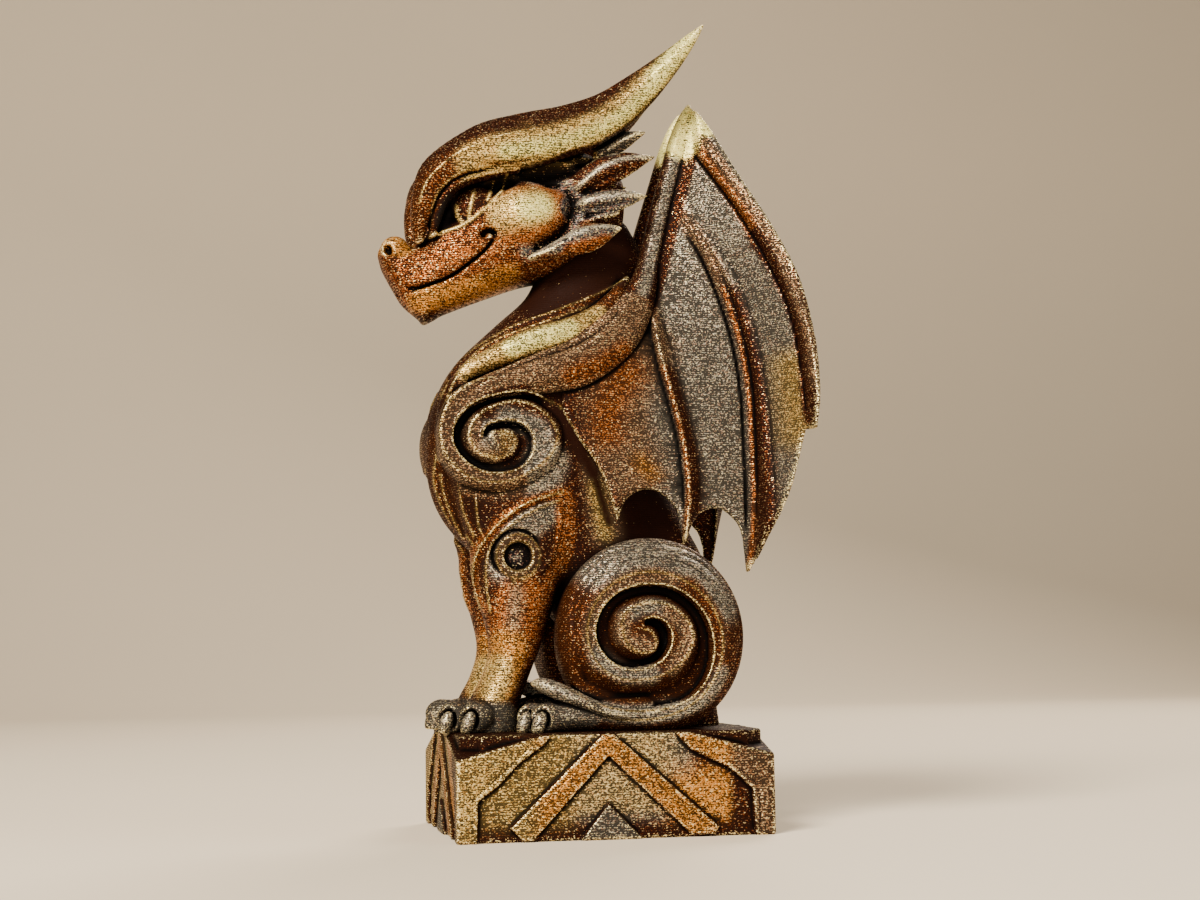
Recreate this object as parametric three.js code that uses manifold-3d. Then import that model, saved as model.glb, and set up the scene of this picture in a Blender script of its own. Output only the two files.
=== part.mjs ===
// A seated winged dragon on its own low plinth: a small figurine, printed in layers, painted dark and
// dry-brushed with copper, gold and silver. Millimetres, +Z up. The dragon looks along -X, its left
// side faces -Y, it is symmetric about the plane Y = 0, and the origin is the centre of the plinth's
// underside.

import * as THREE from 'three';
import { ConvexGeometry } from 'three/addons/geometries/ConvexGeometry.js';
import { mergeVertices } from 'three/addons/utils/BufferGeometryUtils.js';
import Module from 'manifold-3d';

const wasm = await Module();
wasm.setup();

const TAU = 2 * Math.PI;

// Plinth: its block, the sloping cut at each top corner, and the low relief on its faces
const PLINTH = { length: 40, width: 33, height: 13 };
const CORNER = { drop: 3.0, reach: 11.2 };
const CORE = { inset: 0.35, chamfer: 2.5 };
const RELIEF = 0.45;

// Outlines of the fields sunk into a long face: beside its chevron, and under it around a small peak
const FIELD_BESIDE = [
  [-1.6, 14], [-10.4, 14], [-11.6, 12.2], [-16.4, 8.6], [-17.4, 6.2], [-17.6, -1], [-13.4, -1], [-13, 0.8],
];
const FIELD_UNDER = [
  [0, 10.2], [-9.6, 0.8], [-9.6, -1], [-4.4, -1], [-0.2, 3.6], [0.2, 3.6], [4.4, -1], [9.6, -1], [9.6, 0.8],
];

// Figure: height of its feet, and how deep the open work and grooves are cut
const GROUND = PLINTH.height;
const GROOVE = { haunch: 1.9, shoulder: 1.5, forearm: 0.8, mouth: 0.7 };

// Body, by height: front and back in X, half-width in Y
const TORSO = [
  [12.0, -1.0, 13.0, 8.0],
  [17.0, -2.5, 15.0, 8.8],
  [23.0, -2.8, 15.4, 8.8],
  [29.0, -6.5, 14.6, 8.4],
  [36.0, -15.6, 11.6, 8.2],
  [41.0, -19.8, 9.4, 8.6],
  [46.0, -21.4, 8.4, 9.4],
  [51.0, -21.4, 8.0, 9.8],
  [56.0, -20.3, 7.8, 9.4],
  [61.0, -17.4, 7.8, 8.4],
  [66.0, -12.2, 8.0, 7.2],
  [70.0, -7.8, 8.2, 6.2],
  [75.0, -6.0, 8.0, 5.6],
  [80.0, -5.0, 5.5, 5.0],
];

// Head, by distance behind the nose: underside and top in Z, half-width in Y
const HEAD = [
  [-27.6, 73.8, 76.0, 1.0],
  [-26.8, 71.6, 76.8, 2.4],
  [-25.0, 68.9, 76.4, 3.2],
  [-22.4, 66.9, 78.6, 4.0],
  [-19.0, 67.5, 84.4, 4.9],
  [-14.0, 69.0, 87.4, 6.4],
  [-9.0, 69.5, 88.5, 7.7],
  [-4.0, 70.6, 90.0, 8.0],
  [1.0, 73.6, 89.6, 7.2],
  [4.6, 77.4, 86.6, 4.4],
];

// Limbs: X, Y and Z of the middle line, half-thickness across it, and half-thickness in Y
const HORN = [
  [-23.0, -3.3, 76.0, 0.5, 0.7],
  [-22.6, -4.0, 79.6, 1.4, 1.9],
  [-21.0, -4.7, 83.6, 2.2, 2.8],
  [-16.6, -5.3, 87.2, 3.2, 3.5],
  [-9.8, -5.7, 89.6, 3.7, 3.7],
  [-2.2, -6.1, 91.6, 3.8, 3.4],
  [4.8, -7.2, 95.4, 3.2, 2.8],
  [10.4, -8.8, 100.6, 1.8, 1.8],
  [14.3, -10.2, 105.1, 0.2, 0.2],
];
const WING_ARM = [
  [14.0, -2.7, 96.0, 0.2, 0.3],
  [12.9, -2.9, 92.0, 1.2, 1.1],
  [9.1, -4.1, 80.0, 1.3, 1.4],
  [7.0, -5.4, 72.5, 1.3, 1.6],
  [5.3, -7.0, 66.5, 1.7, 1.9],
  [2.2, -8.4, 61.2, 2.4, 2.1],
  [-3.0, -9.4, 58.2, 2.4, 2.2],
  [-10.0, -10.0, 58.0, 2.0, 2.0],
  [-16.6, -9.6, 56.2, 1.6, 1.9],
  [-20.0, -8.4, 51.4, 0.9, 1.6],
];
const NECK_BAND = [
  [5.0, -5.6, 71.6, 0.5, 1.0],
  [0.4, -6.7, 66.2, 1.4, 1.6],
  [-5.2, -7.6, 63.6, 2.0, 1.9],
  [-11.0, -7.9, 61.8, 2.1, 1.9],
  [-16.4, -7.2, 58.6, 1.7, 1.8],
  [-20.2, -5.6, 52.6, 0.7, 1.4],
];
const FIN_TOP = [
  [0.6, -5.0, 87.6, 1.6, 1.2],
  [6.4, -7.0, 91.0, 0.2, 0.2],
];
const FIN_UPPER = [
  [-2.6, -6.4, 83.2, 2.2, 1.6],
  [2.8, -7.8, 86.4, 2.1, 1.2],
  [7.3, -8.8, 87.4, 0.2, 0.2],
];
const FIN_MIDDLE = [
  [-2.4, -6.6, 80.8, 1.4, 1.4],
  [2.4, -8.0, 82.2, 1.2, 0.9],
  [6.2, -8.8, 82.0, 0.2, 0.2],
];
const FIN_LOWER = [
  [-7.4, -6.8, 74.8, 1.0, 1.2],
  [-1.6, -8.0, 77.6, 1.8, 1.1],
  [2.9, -8.8, 78.2, 0.2, 0.2],
];
const TAIL = [
  [4.6, 0, 46.0, 3.4, 3.6],
  [8.6, 0, 39.0, 4.0, 4.2],
  [12.4, 0, 31.0, 4.2, 4.4],
  [13.8, 0, 23.0, 3.8, 4.0],
  [13.6, 0, 17.0, 3.2, 3.6],
  [14.6, 0, 12.8, 2.6, 3.0],
];
const HIND_FOOT = [
  [4.0, -10.8, 15.0, 2.6, 2.6],
  [-3.0, -11.0, 15.2, 2.4, 2.5],
  [-8.0, -11.0, 14.8, 2.0, 2.3],
  [-10.8, -11.0, 14.0, 1.2, 1.6],
];

// Foreleg, by height: front and back in X, outer and inner side in Y
const FORELEG = [
  [57.0, -18.0, -6.0, -9.4, -4.0],
  [50.0, -20.2, -4.0, -11.0, -2.6],
  [45.0, -19.4, -3.0, -10.8, -2.0],
  [40.0, -17.2, -3.0, -10.4, -1.6],
  [35.0, -15.2, -3.9, -9.9, -1.5],
  [30.0, -14.6, -5.5, -9.4, -1.7],
  [24.0, -14.1, -7.6, -9.0, -2.0],
  [20.0, -14.6, -8.7, -8.9, -2.1],
  [16.5, -17.2, -9.6, -9.3, -1.8],
  [12.0, -18.8, -10.6, -9.5, -1.6],
];

// Haunch, by distance out from the middle: X from and to, Z from and to
const HAUNCH = [
  [-2.5, -3.6, 15.6, 15.0, 34.6],
  [-4.5, -6.2, 17.8, 12.8, 37.0],
  [-9.0, -6.6, 17.9, 12.6, 37.2],
  [-11.6, -6.4, 16.8, 13.0, 37.0],
  [-13.2, -6.0, 15.0, 13.5, 36.6],
  [-14.0, -5.6, 13.6, 14.2, 36.2],
];
const SHOULDER = [
  [-5.0, -20.6, -5.6, 43.4, 56.8],
  [-10.2, -20.8, -5.6, 43.2, 56.8],
  [-11.2, -20.4, -6.2, 43.7, 56.3],
  [-11.6, -19.6, -7.0, 44.4, 55.6],
];

// Volutes: centre in X and Z, angle of the inner end, radius of the groove at each quarter turn from
// there, clockwise outwards, and its width at either end
const HAUNCH_VOLUTE = {
  centre: [3.9, 24.9], from: 72, radii: [1.7, 3.2, 3.5, 5.5, 6.1, 7.9, 8.2, 9.0], width: [0.9, 1.9],
};
const SHOULDER_VOLUTE = {
  centre: [-13.8, 50.5], from: 230, radii: [0.5, 1.3, 2.4, 4.1, 4.2, 4.7, 4.7, 7.4], width: [0.6, 1.3],
};

// Forearm: the ring around its sunk disc, with how far out it starts and ends, and the raised edge of its
// leaf, as a middle line in X and Z with half-widths
const FOREARM = 10.0;
const FOREARM_RING = { x: -10.9, z: 34.3, inner: 1.5, outer: 3.0, width: 0.8, sunk: 1.0, proud: 0.35 };
const FOREARM_LEAF = [
  [-5.4, 42.8, 0.3], [-9.4, 42.0, 0.6], [-13.4, 39.4, 0.6], [-15.6, 35.4, 0.5], [-14.4, 29, 0.3],
];
const LEAF = { rise: 0.5, inner: 6, outer: 14 };

// Head: outline of the eye socket and how far out its floor lies, and the mouth, as a middle line in X and Z
// with half-widths, cut into the cheek
const SOCKET = [[-22.4, 76.4], [-16, 78.8], [-12.4, 83.4], [-2, 84.2], [-2, 88], [-12, 87], [-20, 85]];
const SOCKET_FLOOR = 3.6;
const SMILE = [
  [-27, 69, 0.25], [-21.5, 70.4, 0.3], [-17.5, 72.5, 0.3], [-14.6, 75, 0.35], [-13.2, 77.4, 0.5],
];
const CHEEK = 4.4;

// Balls of the head: centre, then half-sizes
const BALLS = {
  cheek: [-8.8, -5.6, 79.8, 4.4, 3.0, 3.9],
  eye: [-16.2, -4.2, 80.8, 2.6, 2.0, 2.3],
  nostril: [-26.0, -1.7, 75.4, 1.5, 1.3, 1.4],
};

// Toes: X and Y of each, height of their middles above the ground, and half-sizes
const FORE_TOES = {
  places: [[-17.2, -8.4], [-18.8, -6.0], [-18.0, -3.6]], lift: 1.05, size: [2.4, 1.4, 1.9],
};
const HIND_TOES = {
  places: [[-9.8, -12.4], [-10.2, -10.2], [-9.8, -8.4]], lift: 1.0, size: [1.92, 1.26, 1.71],
};

// Wing lines, by height: X and half-spread of the arm, the first rib, the fold at the second rib, and the
// outer edge
const WING_LINES = [
  [30, -5.0, 9.6, 10.6, 10.2, 18.6, 10.8, 18.9, 11.2],
  [40, -5.0, 9.5, 10.9, 10.0, 19.7, 10.5, 21.6, 15.6],
  [50, -5.0, 9.2, 10.6, 9.3, 20.0, 10.0, 25.3, 19.5],
  [60, 2.6, 8.3, 9.3, 8.0, 19.5, 9.2, 26.1, 18.6],
  [70, 6.4, 5.8, 9.2, 5.9, 17.3, 7.7, 24.8, 16.3],
  [80, 9.0, 4.1, 10.6, 4.4, 13.4, 5.6, 21.2, 12.2],
  [90, 12.2, 3.1, 12.8, 3.3, 13.6, 3.8, 17.5, 6.2],
  [98, 14.0, 2.6, 14.3, 2.7, 14.6, 2.8, 15.0, 3.0],
];
const WING = { skin: 1.5, rib: 0.8, ribBack: 0.4, before: 6, beyond: 2, steepest: 2 };
const ARM_EDGE = [[-5.2, 56], [0, 58.4], [4.2, 62.6], [6.6, 71], [9, 80], [11, 86], [12.9, 92], [14, 96.2]];
const OUTER_EDGE = [
  [14, 96.2], [16.5, 92], [19.7, 83.5], [22.5, 76.7], [24.8, 70], [26, 62], [26.1, 56], [25.2, 50],
];
const TRAILING_EDGE = [[25.2, 50], [22.9, 43.6], [20.7, 37.6], [18.5, 32.8]];
const SCALLOPS = [
  [[18.5, 32.8], [18, 37.7], [16.9, 39.8], [14.9, 41.1], [12.6, 40.4], [10.4, 37.2]],
  [[10.4, 37.2], [9.5, 41.1], [7.4, 43.1], [5.2, 43.5], [3.0, 42.2], [1.8, 39.4]],
];
const FRONT_EDGE = [[1.8, 39.4], [-0.3, 45.9], [-2.8, 49.7], [-5, 53.4]];

// Ribs of the wing: middle line in X and Z, and half-width
const RIBS = {
  first: [[7.6, 71, 0.6], [8.5, 63, 1.6], [9.9, 56, 1.6], [10.7, 48, 1.3], [10.5, 39, 0.6]],
  second: [
    [12.4, 81, 0.5], [16.6, 72, 1.4], [18.8, 65, 1.5], [19.8, 57, 1.4], [19.9, 47, 1.2], [18.9, 35, 0.4],
  ],
  rim: [
    [15.2, 91, 0.7], [18.4, 83.5, 0.8], [21.2, 76.7, 0.8], [23.5, 70, 0.9], [24.8, 62, 0.9], [24.8, 54, 0.4],
  ],
};

// Reach of a cut or a plate that passes right through, and the size of the block that ends the feet
const THROUGH = 30;
const OUTSIDE = 12;
const BLOCK = 80;

// Columns of a table of stations, smoothed by a spline and read at `count` even steps.
function resample(rows, count) {
  const columns = rows[0].map(
    (_, column) => new THREE.SplineCurve(rows.map((row, i) => new THREE.Vector2(i, row[column]))),
  );
  return Array.from({ length: count }, (_, i) => columns.map((curve) => curve.getPoint(i / (count - 1)).y));
}

// A closed mesh from points and triangles, turned so that its faces point out.
function closedGeometry(points, triangles) {
  let volume = 0;
  const [a, b, c] = [new THREE.Vector3(), new THREE.Vector3(), new THREE.Vector3()];
  for (const [i, j, k] of triangles) {
    volume += a.fromArray(points[i]).dot(b.fromArray(points[j]).cross(c.fromArray(points[k])));
  }
  const index = triangles.flatMap(([i, j, k]) => (volume < 0 ? [i, k, j] : [i, j, k]));
  const geometry = new THREE.BufferGeometry();
  geometry.setAttribute('position', new THREE.Float32BufferAttribute(points.flat(), 3));
  geometry.setIndex(index);
  return geometry;
}

// A closed skin over rings with the same number of points, with a fan over each end.
function skin(rings) {
  const sides = rings[0].length;
  const middle = (ring) => [0, 1, 2].map((k) => ring.reduce((sum, point) => sum + point[k], 0) / sides);
  const points = [...rings.flat(), middle(rings[0]), middle(rings.at(-1))];
  const [first, last] = [points.length - 2, points.length - 1];
  const triangles = [];
  for (let s = 0; s < sides; s += 1) {
    const next = (s + 1) % sides;
    for (let r = 0; r + 1 < rings.length; r += 1) {
      const [low, high] = [r * sides, (r + 1) * sides];
      triangles.push([low + s, low + next, high + next], [low + s, high + next, high + s]);
    }
    const top = (rings.length - 1) * sides;
    triangles.push([first, next, s], [last, top + s, top + next]);
  }
  return closedGeometry(points, triangles);
}

// A body sliced square to one axis. A row holds the slice's level and the two extents across it, and
// `square` below 1 makes the slices boxier than an ellipse.
const SLICE_POINT = {
  x: (level, a, b) => [level, a, b],
  y: (level, a, b) => [a, level, b],
  z: (level, a, b) => [a, b, level],
};
function slices(axis, rows, { count = rows.length, sides = 16, square = 1 } = {}) {
  const soften = (value) => Math.sign(value) * Math.abs(value) ** square;
  const ring = ([level, a0, a1, b0, b1]) =>
    Array.from({ length: sides }, (_, i) => {
      const angle = (TAU * (i + 0.5)) / sides;
      const a = (a0 + a1) / 2 + ((a1 - a0) / 2) * soften(Math.cos(angle));
      const b = (b0 + b1) / 2 + ((b1 - b0) / 2) * soften(Math.sin(angle));
      return SLICE_POINT[axis](level, a, b);
    });
  return skin(resample(rows, count).map(ring));
}

// A tapering limb whose middle line bends in the XZ plane.
function limb(rows, { count = rows.length, sides = 8 } = {}) {
  const stations = resample(rows, count);
  const ring = ([x, y, z, across, deep], i) => {
    const before = stations[Math.max(i - 1, 0)];
    const after = stations[Math.min(i + 1, count - 1)];
    const along = new THREE.Vector2(after[0] - before[0], after[2] - before[2]).normalize();
    return Array.from({ length: sides }, (_, s) => {
      const angle = (TAU * s) / sides;
      const reach = across * Math.cos(angle);
      return [x - along.y * reach, y + deep * Math.sin(angle), z + along.x * reach];
    });
  };
  return skin(stations.map(ring));
}

function ball([x, y, z, long, wide, high], across = 8) {
  const down = Math.ceil(across * 0.6);
  return new THREE.SphereGeometry(1, across, down).scale(long, wide, high).translate(x, y, z);
}

// A solid for joining and cutting, and the way back to a mesh.
function solid(geometry) {
  const bare = geometry.clone();
  bare.deleteAttribute('normal');
  bare.deleteAttribute('uv');
  const merged = mergeVertices(bare, 1e-4);
  const vertProperties = merged.attributes.position.array;
  return new wasm.Manifold(
    new wasm.Mesh({ numProp: 3, vertProperties, triVerts: new Uint32Array(merged.index.array) }),
  );
}

function geometryOf(shape) {
  const { vertProperties, triVerts } = shape.getMesh();
  const geometry = new THREE.BufferGeometry();
  geometry.setAttribute('position', new THREE.BufferAttribute(new Float32Array(vertProperties), 3));
  geometry.setIndex(Array.from(triVerts));
  return geometry;
}

const join = (shapes) => shapes.reduce((whole, shape) => whole.add(shape));

// The same solid on the other side of the plane Y = 0.
function mirrored(shape) {
  const geometry = geometryOf(shape).scale(1, -1, 1);
  const flipped = geometry.index.array.map((_, i, index) => index[i - (i % 3) + [0, 2, 1][i % 3]]);
  geometry.setIndex(new THREE.BufferAttribute(flipped, 1));
  return solid(geometry);
}

// An outline in X and Z made solid between two distances to the left of the middle plane.
function plate(outline, near, far) {
  const shape = new THREE.Shape(outline.map(([x, z]) => new THREE.Vector2(x, z)));
  const geometry = new THREE.ExtrudeGeometry(shape, { depth: far - near, bevelEnabled: false });
  return solid(geometry.rotateX(Math.PI / 2).translate(0, -near, 0));
}

// The outline of a strip along a middle line of [x, z, half-width] points.
function strip(line) {
  const sideOf = (sign) =>
    line.map(([x, z, half], i) => {
      const [x0, z0] = line[Math.max(i - 1, 0)];
      const [x1, z1] = line[Math.min(i + 1, line.length - 1)];
      const length = Math.hypot(x1 - x0, z1 - z0);
      return [x - (sign * half * (z1 - z0)) / length, z + (sign * half * (x1 - x0)) / length];
    });
  return [...sideOf(1), ...sideOf(-1).reverse()];
}

// A spiral strip that winds clockwise outwards, seen from the dragon's left.
function spiral({ centre: [x, z], from, radii, width: [narrow, broad] }, stepsPerQuarter = 3) {
  const steps = (radii.length - 1) * stepsPerQuarter;
  const line = resample(radii.map((radius) => [radius]), steps + 1).map(([radius], i) => {
    const angle = THREE.MathUtils.degToRad(from - (90 * i) / stepsPerQuarter);
    const taper = Math.min(1, (steps - i + 1) / stepsPerQuarter);
    const width = THREE.MathUtils.lerp(narrow, broad, i / steps) * taper;
    return [x + radius * Math.cos(angle), z + radius * Math.sin(angle), width / 2];
  });
  return strip(line);
}

// A flat ring in X and Z, as an outline with a hole.
function ringPlate({ x, z, outer, width }, near, far) {
  const shape = new THREE.Shape().absarc(x, z, outer, 0, TAU);
  shape.holes.push(new THREE.Path().absarc(x, z, outer - width, 0, TAU));
  const depth = far - near;
  const geometry = new THREE.ExtrudeGeometry(shape, { depth, bevelEnabled: false, curveSegments: 5 });
  return solid(geometry.rotateX(Math.PI / 2).translate(0, -near, 0));
}

// A curved sheet that follows the wing lines, `inside` and `outside` the wing's middle surface.
function wingSheet(inside, outside) {
  const split = (line) => {
    const [z, armX, armY, ribX, ribY, foldX, foldY, edgeX, edgeY] = line;
    const beyond = (edgeY - foldY) / Math.max(edgeX - foldX, 0.1);
    return [
      [armX - WING.before, armY, z],
      [armX, armY, z],
      [ribX, ribY, z],
      [foldX, foldY, z],
      [edgeX, edgeY, z],
      [edgeX + WING.beyond, edgeY + WING.beyond * Math.min(beyond, WING.steepest), z],
    ];
  };
  const grid = WING_LINES.map(split);
  const columns = grid[0].length;
  const layer = (offset) => grid.flatMap((row) => row.map(([x, y, z]) => [x, -(y + offset), z]));
  const points = [...layer(inside), ...layer(outside)];
  const shift = grid.length * columns;
  const triangles = [];
  const quad = (a, b, c, d) => triangles.push([a, b, c], [a, c, d]);
  for (let r = 0; r + 1 < grid.length; r += 1) {
    for (let c = 0; c + 1 < columns; c += 1) {
      const [a, b] = [r * columns + c, (r + 1) * columns + c];
      quad(a, a + 1, b + 1, b);
      quad(b + shift, b + 1 + shift, a + 1 + shift, a + shift);
    }
    const [low, high] = [r * columns, (r + 1) * columns];
    quad(low, high, high + shift, low + shift);
    quad(low + columns - 1, low + columns - 1 + shift, high + columns - 1 + shift, high + columns - 1);
  }
  for (let c = 0; c + 1 < columns; c += 1) {
    const top = (grid.length - 1) * columns + c;
    quad(c + 1, c, c + shift, c + 1 + shift);
    quad(top, top + 1, top + 1 + shift, top + shift);
  }
  return solid(closedGeometry(points, triangles));
}

function wing() {
  const half = WING.skin / 2;
  const edges = [ARM_EDGE, OUTER_EDGE, TRAILING_EDGE, ...SCALLOPS, FRONT_EDGE];
  const outline = edges.flatMap((edge) => edge.slice(0, -1));
  const membrane = plate(outline, 0, THROUGH).intersect(wingSheet(-half, half));
  const reach = wingSheet(-half - WING.ribBack, half + WING.rib);
  const ribs = Object.values(RIBS).map((rib) => plate(strip(rib), 0, THROUGH).intersect(reach));
  return join([membrane, ...ribs, solid(limb(WING_ARM, { count: 11, sides: 6 }))]);
}

function toes({ places, lift, size }) {
  return places.map(([x, y]) => solid(ball([x, y, GROUND + lift, ...size], 6)));
}

function haunch() {
  const coil = solid(slices('y', HAUNCH, { sides: 22, square: 0.96 }));
  const face = -HAUNCH.at(-1)[0];
  return join([
    coil.subtract(plate(spiral(HAUNCH_VOLUTE), face - GROOVE.haunch, face + 1)),
    solid(limb(HIND_FOOT)),
    ...toes(HIND_TOES),
  ]);
}

function foreleg() {
  const arm = solid(slices('z', FORELEG, { count: 9, sides: 10 }));
  const grown = FORELEG.map(([level, front, back, outer, inner]) => [
    level, front - LEAF.rise, back + LEAF.rise, outer - LEAF.rise, inner,
  ]);
  const leaf = plate(strip(resample(FOREARM_LEAF, 7)), LEAF.inner, LEAF.outer).intersect(
    solid(slices('z', grown, { count: 9, sides: 10 })),
  );
  const shoulder = solid(slices('y', SHOULDER, { sides: 16 }));
  const face = -SHOULDER.at(-1)[0];
  const { x, z, inner, sunk, proud } = FOREARM_RING;
  const ring = ringPlate(FOREARM_RING, FOREARM - sunk, FOREARM + proud);
  const disc = new THREE.CylinderGeometry(inner, inner, GROOVE.forearm * 2, 12).translate(x, -FOREARM, z);
  return join([
    arm.subtract(solid(disc)),
    ring,
    leaf,
    shoulder.subtract(plate(spiral(SHOULDER_VOLUTE), face - GROOVE.shoulder, face + 1)),
    ...toes(FORE_TOES),
  ]);
}

// Everything on the left of the head that its mirror image repeats
function headSide() {
  return join([
    ...Object.values(BALLS).map((size) => solid(ball(size))),
    ...[FIN_TOP, FIN_UPPER, FIN_MIDDLE, FIN_LOWER].map((fin) => solid(limb(fin, { count: 3, sides: 4 }))),
    solid(limb(HORN, { count: 10, sides: 8 })),
  ]);
}

function head() {
  const rows = HEAD.map(([x, low, high, half]) => [x, -half, half, low, high]);
  const skull = solid(slices('x', rows, { count: 10, sides: 12, square: 0.85 }));
  const pocket = plate(SOCKET, SOCKET_FLOOR, OUTSIDE);
  const mouth = plate(strip(SMILE), CHEEK - GROOVE.mouth, OUTSIDE);
  return skull.subtract(join([pocket, mirrored(pocket), mouth, mirrored(mouth)]));
}

function dragon() {
  const torsoRows = TORSO.map(([z, front, back, half]) => [z, front, back, -half, half]);
  const torso = solid(slices('z', torsoRows, { count: 14, sides: 12 }));
  const neckBand = solid(limb(NECK_BAND, { count: 7, sides: 6 }));
  const side = join([wing(), haunch(), foreleg(), headSide(), neckBand]);
  const whole = join([torso, head(), side, mirrored(side), solid(limb(TAIL, { count: 6, sides: 8 }))]);
  const below = new THREE.BoxGeometry(BLOCK, BLOCK, GROUND).translate(0, 0, GROUND / 2);
  return whole.subtract(solid(below));
}

// The plinth's block with a sloping cut at each top corner, over a full-height core with flattened
// corners, and the faces sunk between the relief.
function plinth() {
  const [halfLength, halfWidth] = [PLINTH.length / 2, PLINTH.width / 2];
  const signs = [[1, 1], [1, -1], [-1, 1], [-1, -1]];
  const hull = (points) => solid(new ConvexGeometry(points.map((point) => new THREE.Vector3(...point))));
  const block = hull(
    signs.flatMap(([sx, sy]) => [
      [sx * halfLength, sy * halfWidth, 0],
      [sx * halfLength, sy * halfWidth, PLINTH.height - CORNER.drop],
      [sx * (halfLength - CORNER.reach), sy * halfWidth, PLINTH.height],
      [sx * halfLength, sy * (halfWidth - CORNER.reach), PLINTH.height],
    ]),
  );
  const [coreLength, coreWidth] = [halfLength - CORE.inset - RELIEF, halfWidth - CORE.inset - RELIEF];
  const core = hull(
    signs.flatMap(([sx, sy]) =>
      [0, PLINTH.height].flatMap((z) => [
        [sx * coreLength, sy * (coreWidth - CORE.chamfer), z],
        [sx * (coreLength - CORE.chamfer), sy * coreWidth, z],
      ]),
    ),
  );
  const fields = [...faceFields(halfLength, halfWidth, 0), ...faceFields(halfWidth, halfLength, 1)];
  return join([block, core]).subtract(join(fields));
}

// The sunk fields of one pair of opposite faces, each `half` wide on either side of its middle.
function faceFields(half, distance, quarterTurns) {
  const wide = half / (PLINTH.length / 2);
  const outlines = [FIELD_BESIDE, FIELD_BESIDE.map(([x, z]) => [-x, z]).reverse(), FIELD_UNDER];
  return outlines.flatMap((outline) => {
    const shape = new THREE.Shape(outline.map(([x, z]) => new THREE.Vector2(x * wide, z)));
    const cut = new THREE.ExtrudeGeometry(shape, { depth: THROUGH - distance, bevelEnabled: false });
    cut.rotateX(Math.PI / 2).translate(0, -(distance - RELIEF), 0).rotateZ(quarterTurns * Math.PI / 2);
    return [solid(cut), solid(cut.clone().rotateZ(Math.PI))];
  });
}

const FINISHES = {
  dragon: { color: 0x6b4226, metalness: 0.55, roughness: 0.5 },
  plinth: { color: 0x7a4b26, metalness: 0.5, roughness: 0.55 },
};

function piece(name, shape) {
  const mesh = new THREE.Mesh(geometryOf(shape), new THREE.MeshStandardMaterial(FINISHES[name]));
  mesh.name = name;
  return mesh;
}

const figurine = new THREE.Group();
figurine.add(piece('plinth', plinth()), piece('dragon', dragon()));

export default figurine;
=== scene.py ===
"""A seated winged dragon on its low plinth: a small printed figurine, painted dark and dry-brushed.

The dragon is modelled as clay on a grid of signed distances, in the part's own frame: millimetres
while it is modelled, metres in the scene, +Z up, looking along -X, its left side towards -Y. Strokes of
wax are laid over its skin along drawn lines and kept on the vertices, and the finish breaks them up
into streaks and flecks.
"""

import logging
import math
from dataclasses import dataclass
from enum import Enum
from itertools import product
from typing import Any, Iterable, Optional, Protocol, Sequence, Union

import bpy
import numpy as np
from mathutils import Matrix, Vector


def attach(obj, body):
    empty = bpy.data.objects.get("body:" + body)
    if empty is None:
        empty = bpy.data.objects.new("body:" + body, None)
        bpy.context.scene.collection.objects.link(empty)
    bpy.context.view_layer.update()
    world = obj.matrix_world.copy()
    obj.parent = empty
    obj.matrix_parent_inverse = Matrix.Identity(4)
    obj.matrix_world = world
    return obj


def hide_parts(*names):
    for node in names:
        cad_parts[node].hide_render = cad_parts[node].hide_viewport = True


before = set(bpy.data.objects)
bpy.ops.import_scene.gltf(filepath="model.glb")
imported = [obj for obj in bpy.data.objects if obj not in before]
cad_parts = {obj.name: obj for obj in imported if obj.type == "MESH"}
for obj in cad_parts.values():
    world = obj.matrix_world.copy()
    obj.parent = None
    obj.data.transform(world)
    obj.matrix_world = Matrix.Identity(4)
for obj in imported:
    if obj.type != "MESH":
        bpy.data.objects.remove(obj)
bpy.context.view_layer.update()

log = logging.getLogger("figurine")

MM = 0.001
FAR = 50.0
TINY = 1e-6
SOFT_MIDDLE = 1e-4
LEAST_SLOPE = 1e-3
Rows = Sequence[Sequence[float]]
Line = Sequence[Sequence[float]]
Pair = tuple[np.ndarray, np.ndarray]


def smooth(rows: Rows, count: int) -> np.ndarray:
    """Rows of a table read at even steps along a smooth curve through them.

    Args:
        rows: The table, one station a row.
        count: How many rows to return.

    Returns:
        The new rows, the first and last as given.
    """
    table = np.asarray(rows, float)
    padded = np.vstack([2 * table[0] - table[1], table, 2 * table[-1] - table[-2]])
    at = np.linspace(0, len(table) - 1, count)
    first = np.minimum(at.astype(int), len(table) - 2)
    t = (at - first)[:, None]
    a, b, c, d = (padded[first + k] for k in range(4))
    return 0.5 * (2 * b + (c - a) * t + (2 * a - 5 * b + 4 * c - d) * t**2 + (3 * b - a - 3 * c + d) * t**3)


def ramp(value: np.ndarray, low: float, high: float) -> np.ndarray:
    """A soft step from 0 at `low` to 1 at `high`."""
    t = np.clip((value - low) / (high - low), 0, 1)
    return t * t * (3 - 2 * t)


def band(value: np.ndarray, low: float, full: float, ease: float, high: float) -> np.ndarray:
    """A soft band: 0 below `low`, 1 from `full` to `ease`, and 0 above `high`."""
    return ramp(value, low, full) * (1 - ramp(value, ease, high))


def bump(distance: np.ndarray, width: float) -> np.ndarray:
    """A soft ridge over a line: 1 on it, and near 0 two widths away."""
    return np.exp(-((distance / width) ** 2))


def union(a: np.ndarray, b: np.ndarray, blend: float) -> np.ndarray:
    """Two bodies as one, with a fillet of about `blend` where they meet."""
    if blend <= 0:
        return np.minimum(a, b)
    h = np.clip(0.5 + 0.5 * (b - a) / blend, 0, 1)
    return b + (a - b) * h - blend * h * (1 - h)


def common(a: np.ndarray, b: np.ndarray, blend: float = 0.0) -> np.ndarray:
    """What two bodies share, with its edge rounded by about `blend`."""
    return -union(-a, -b, blend)


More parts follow.
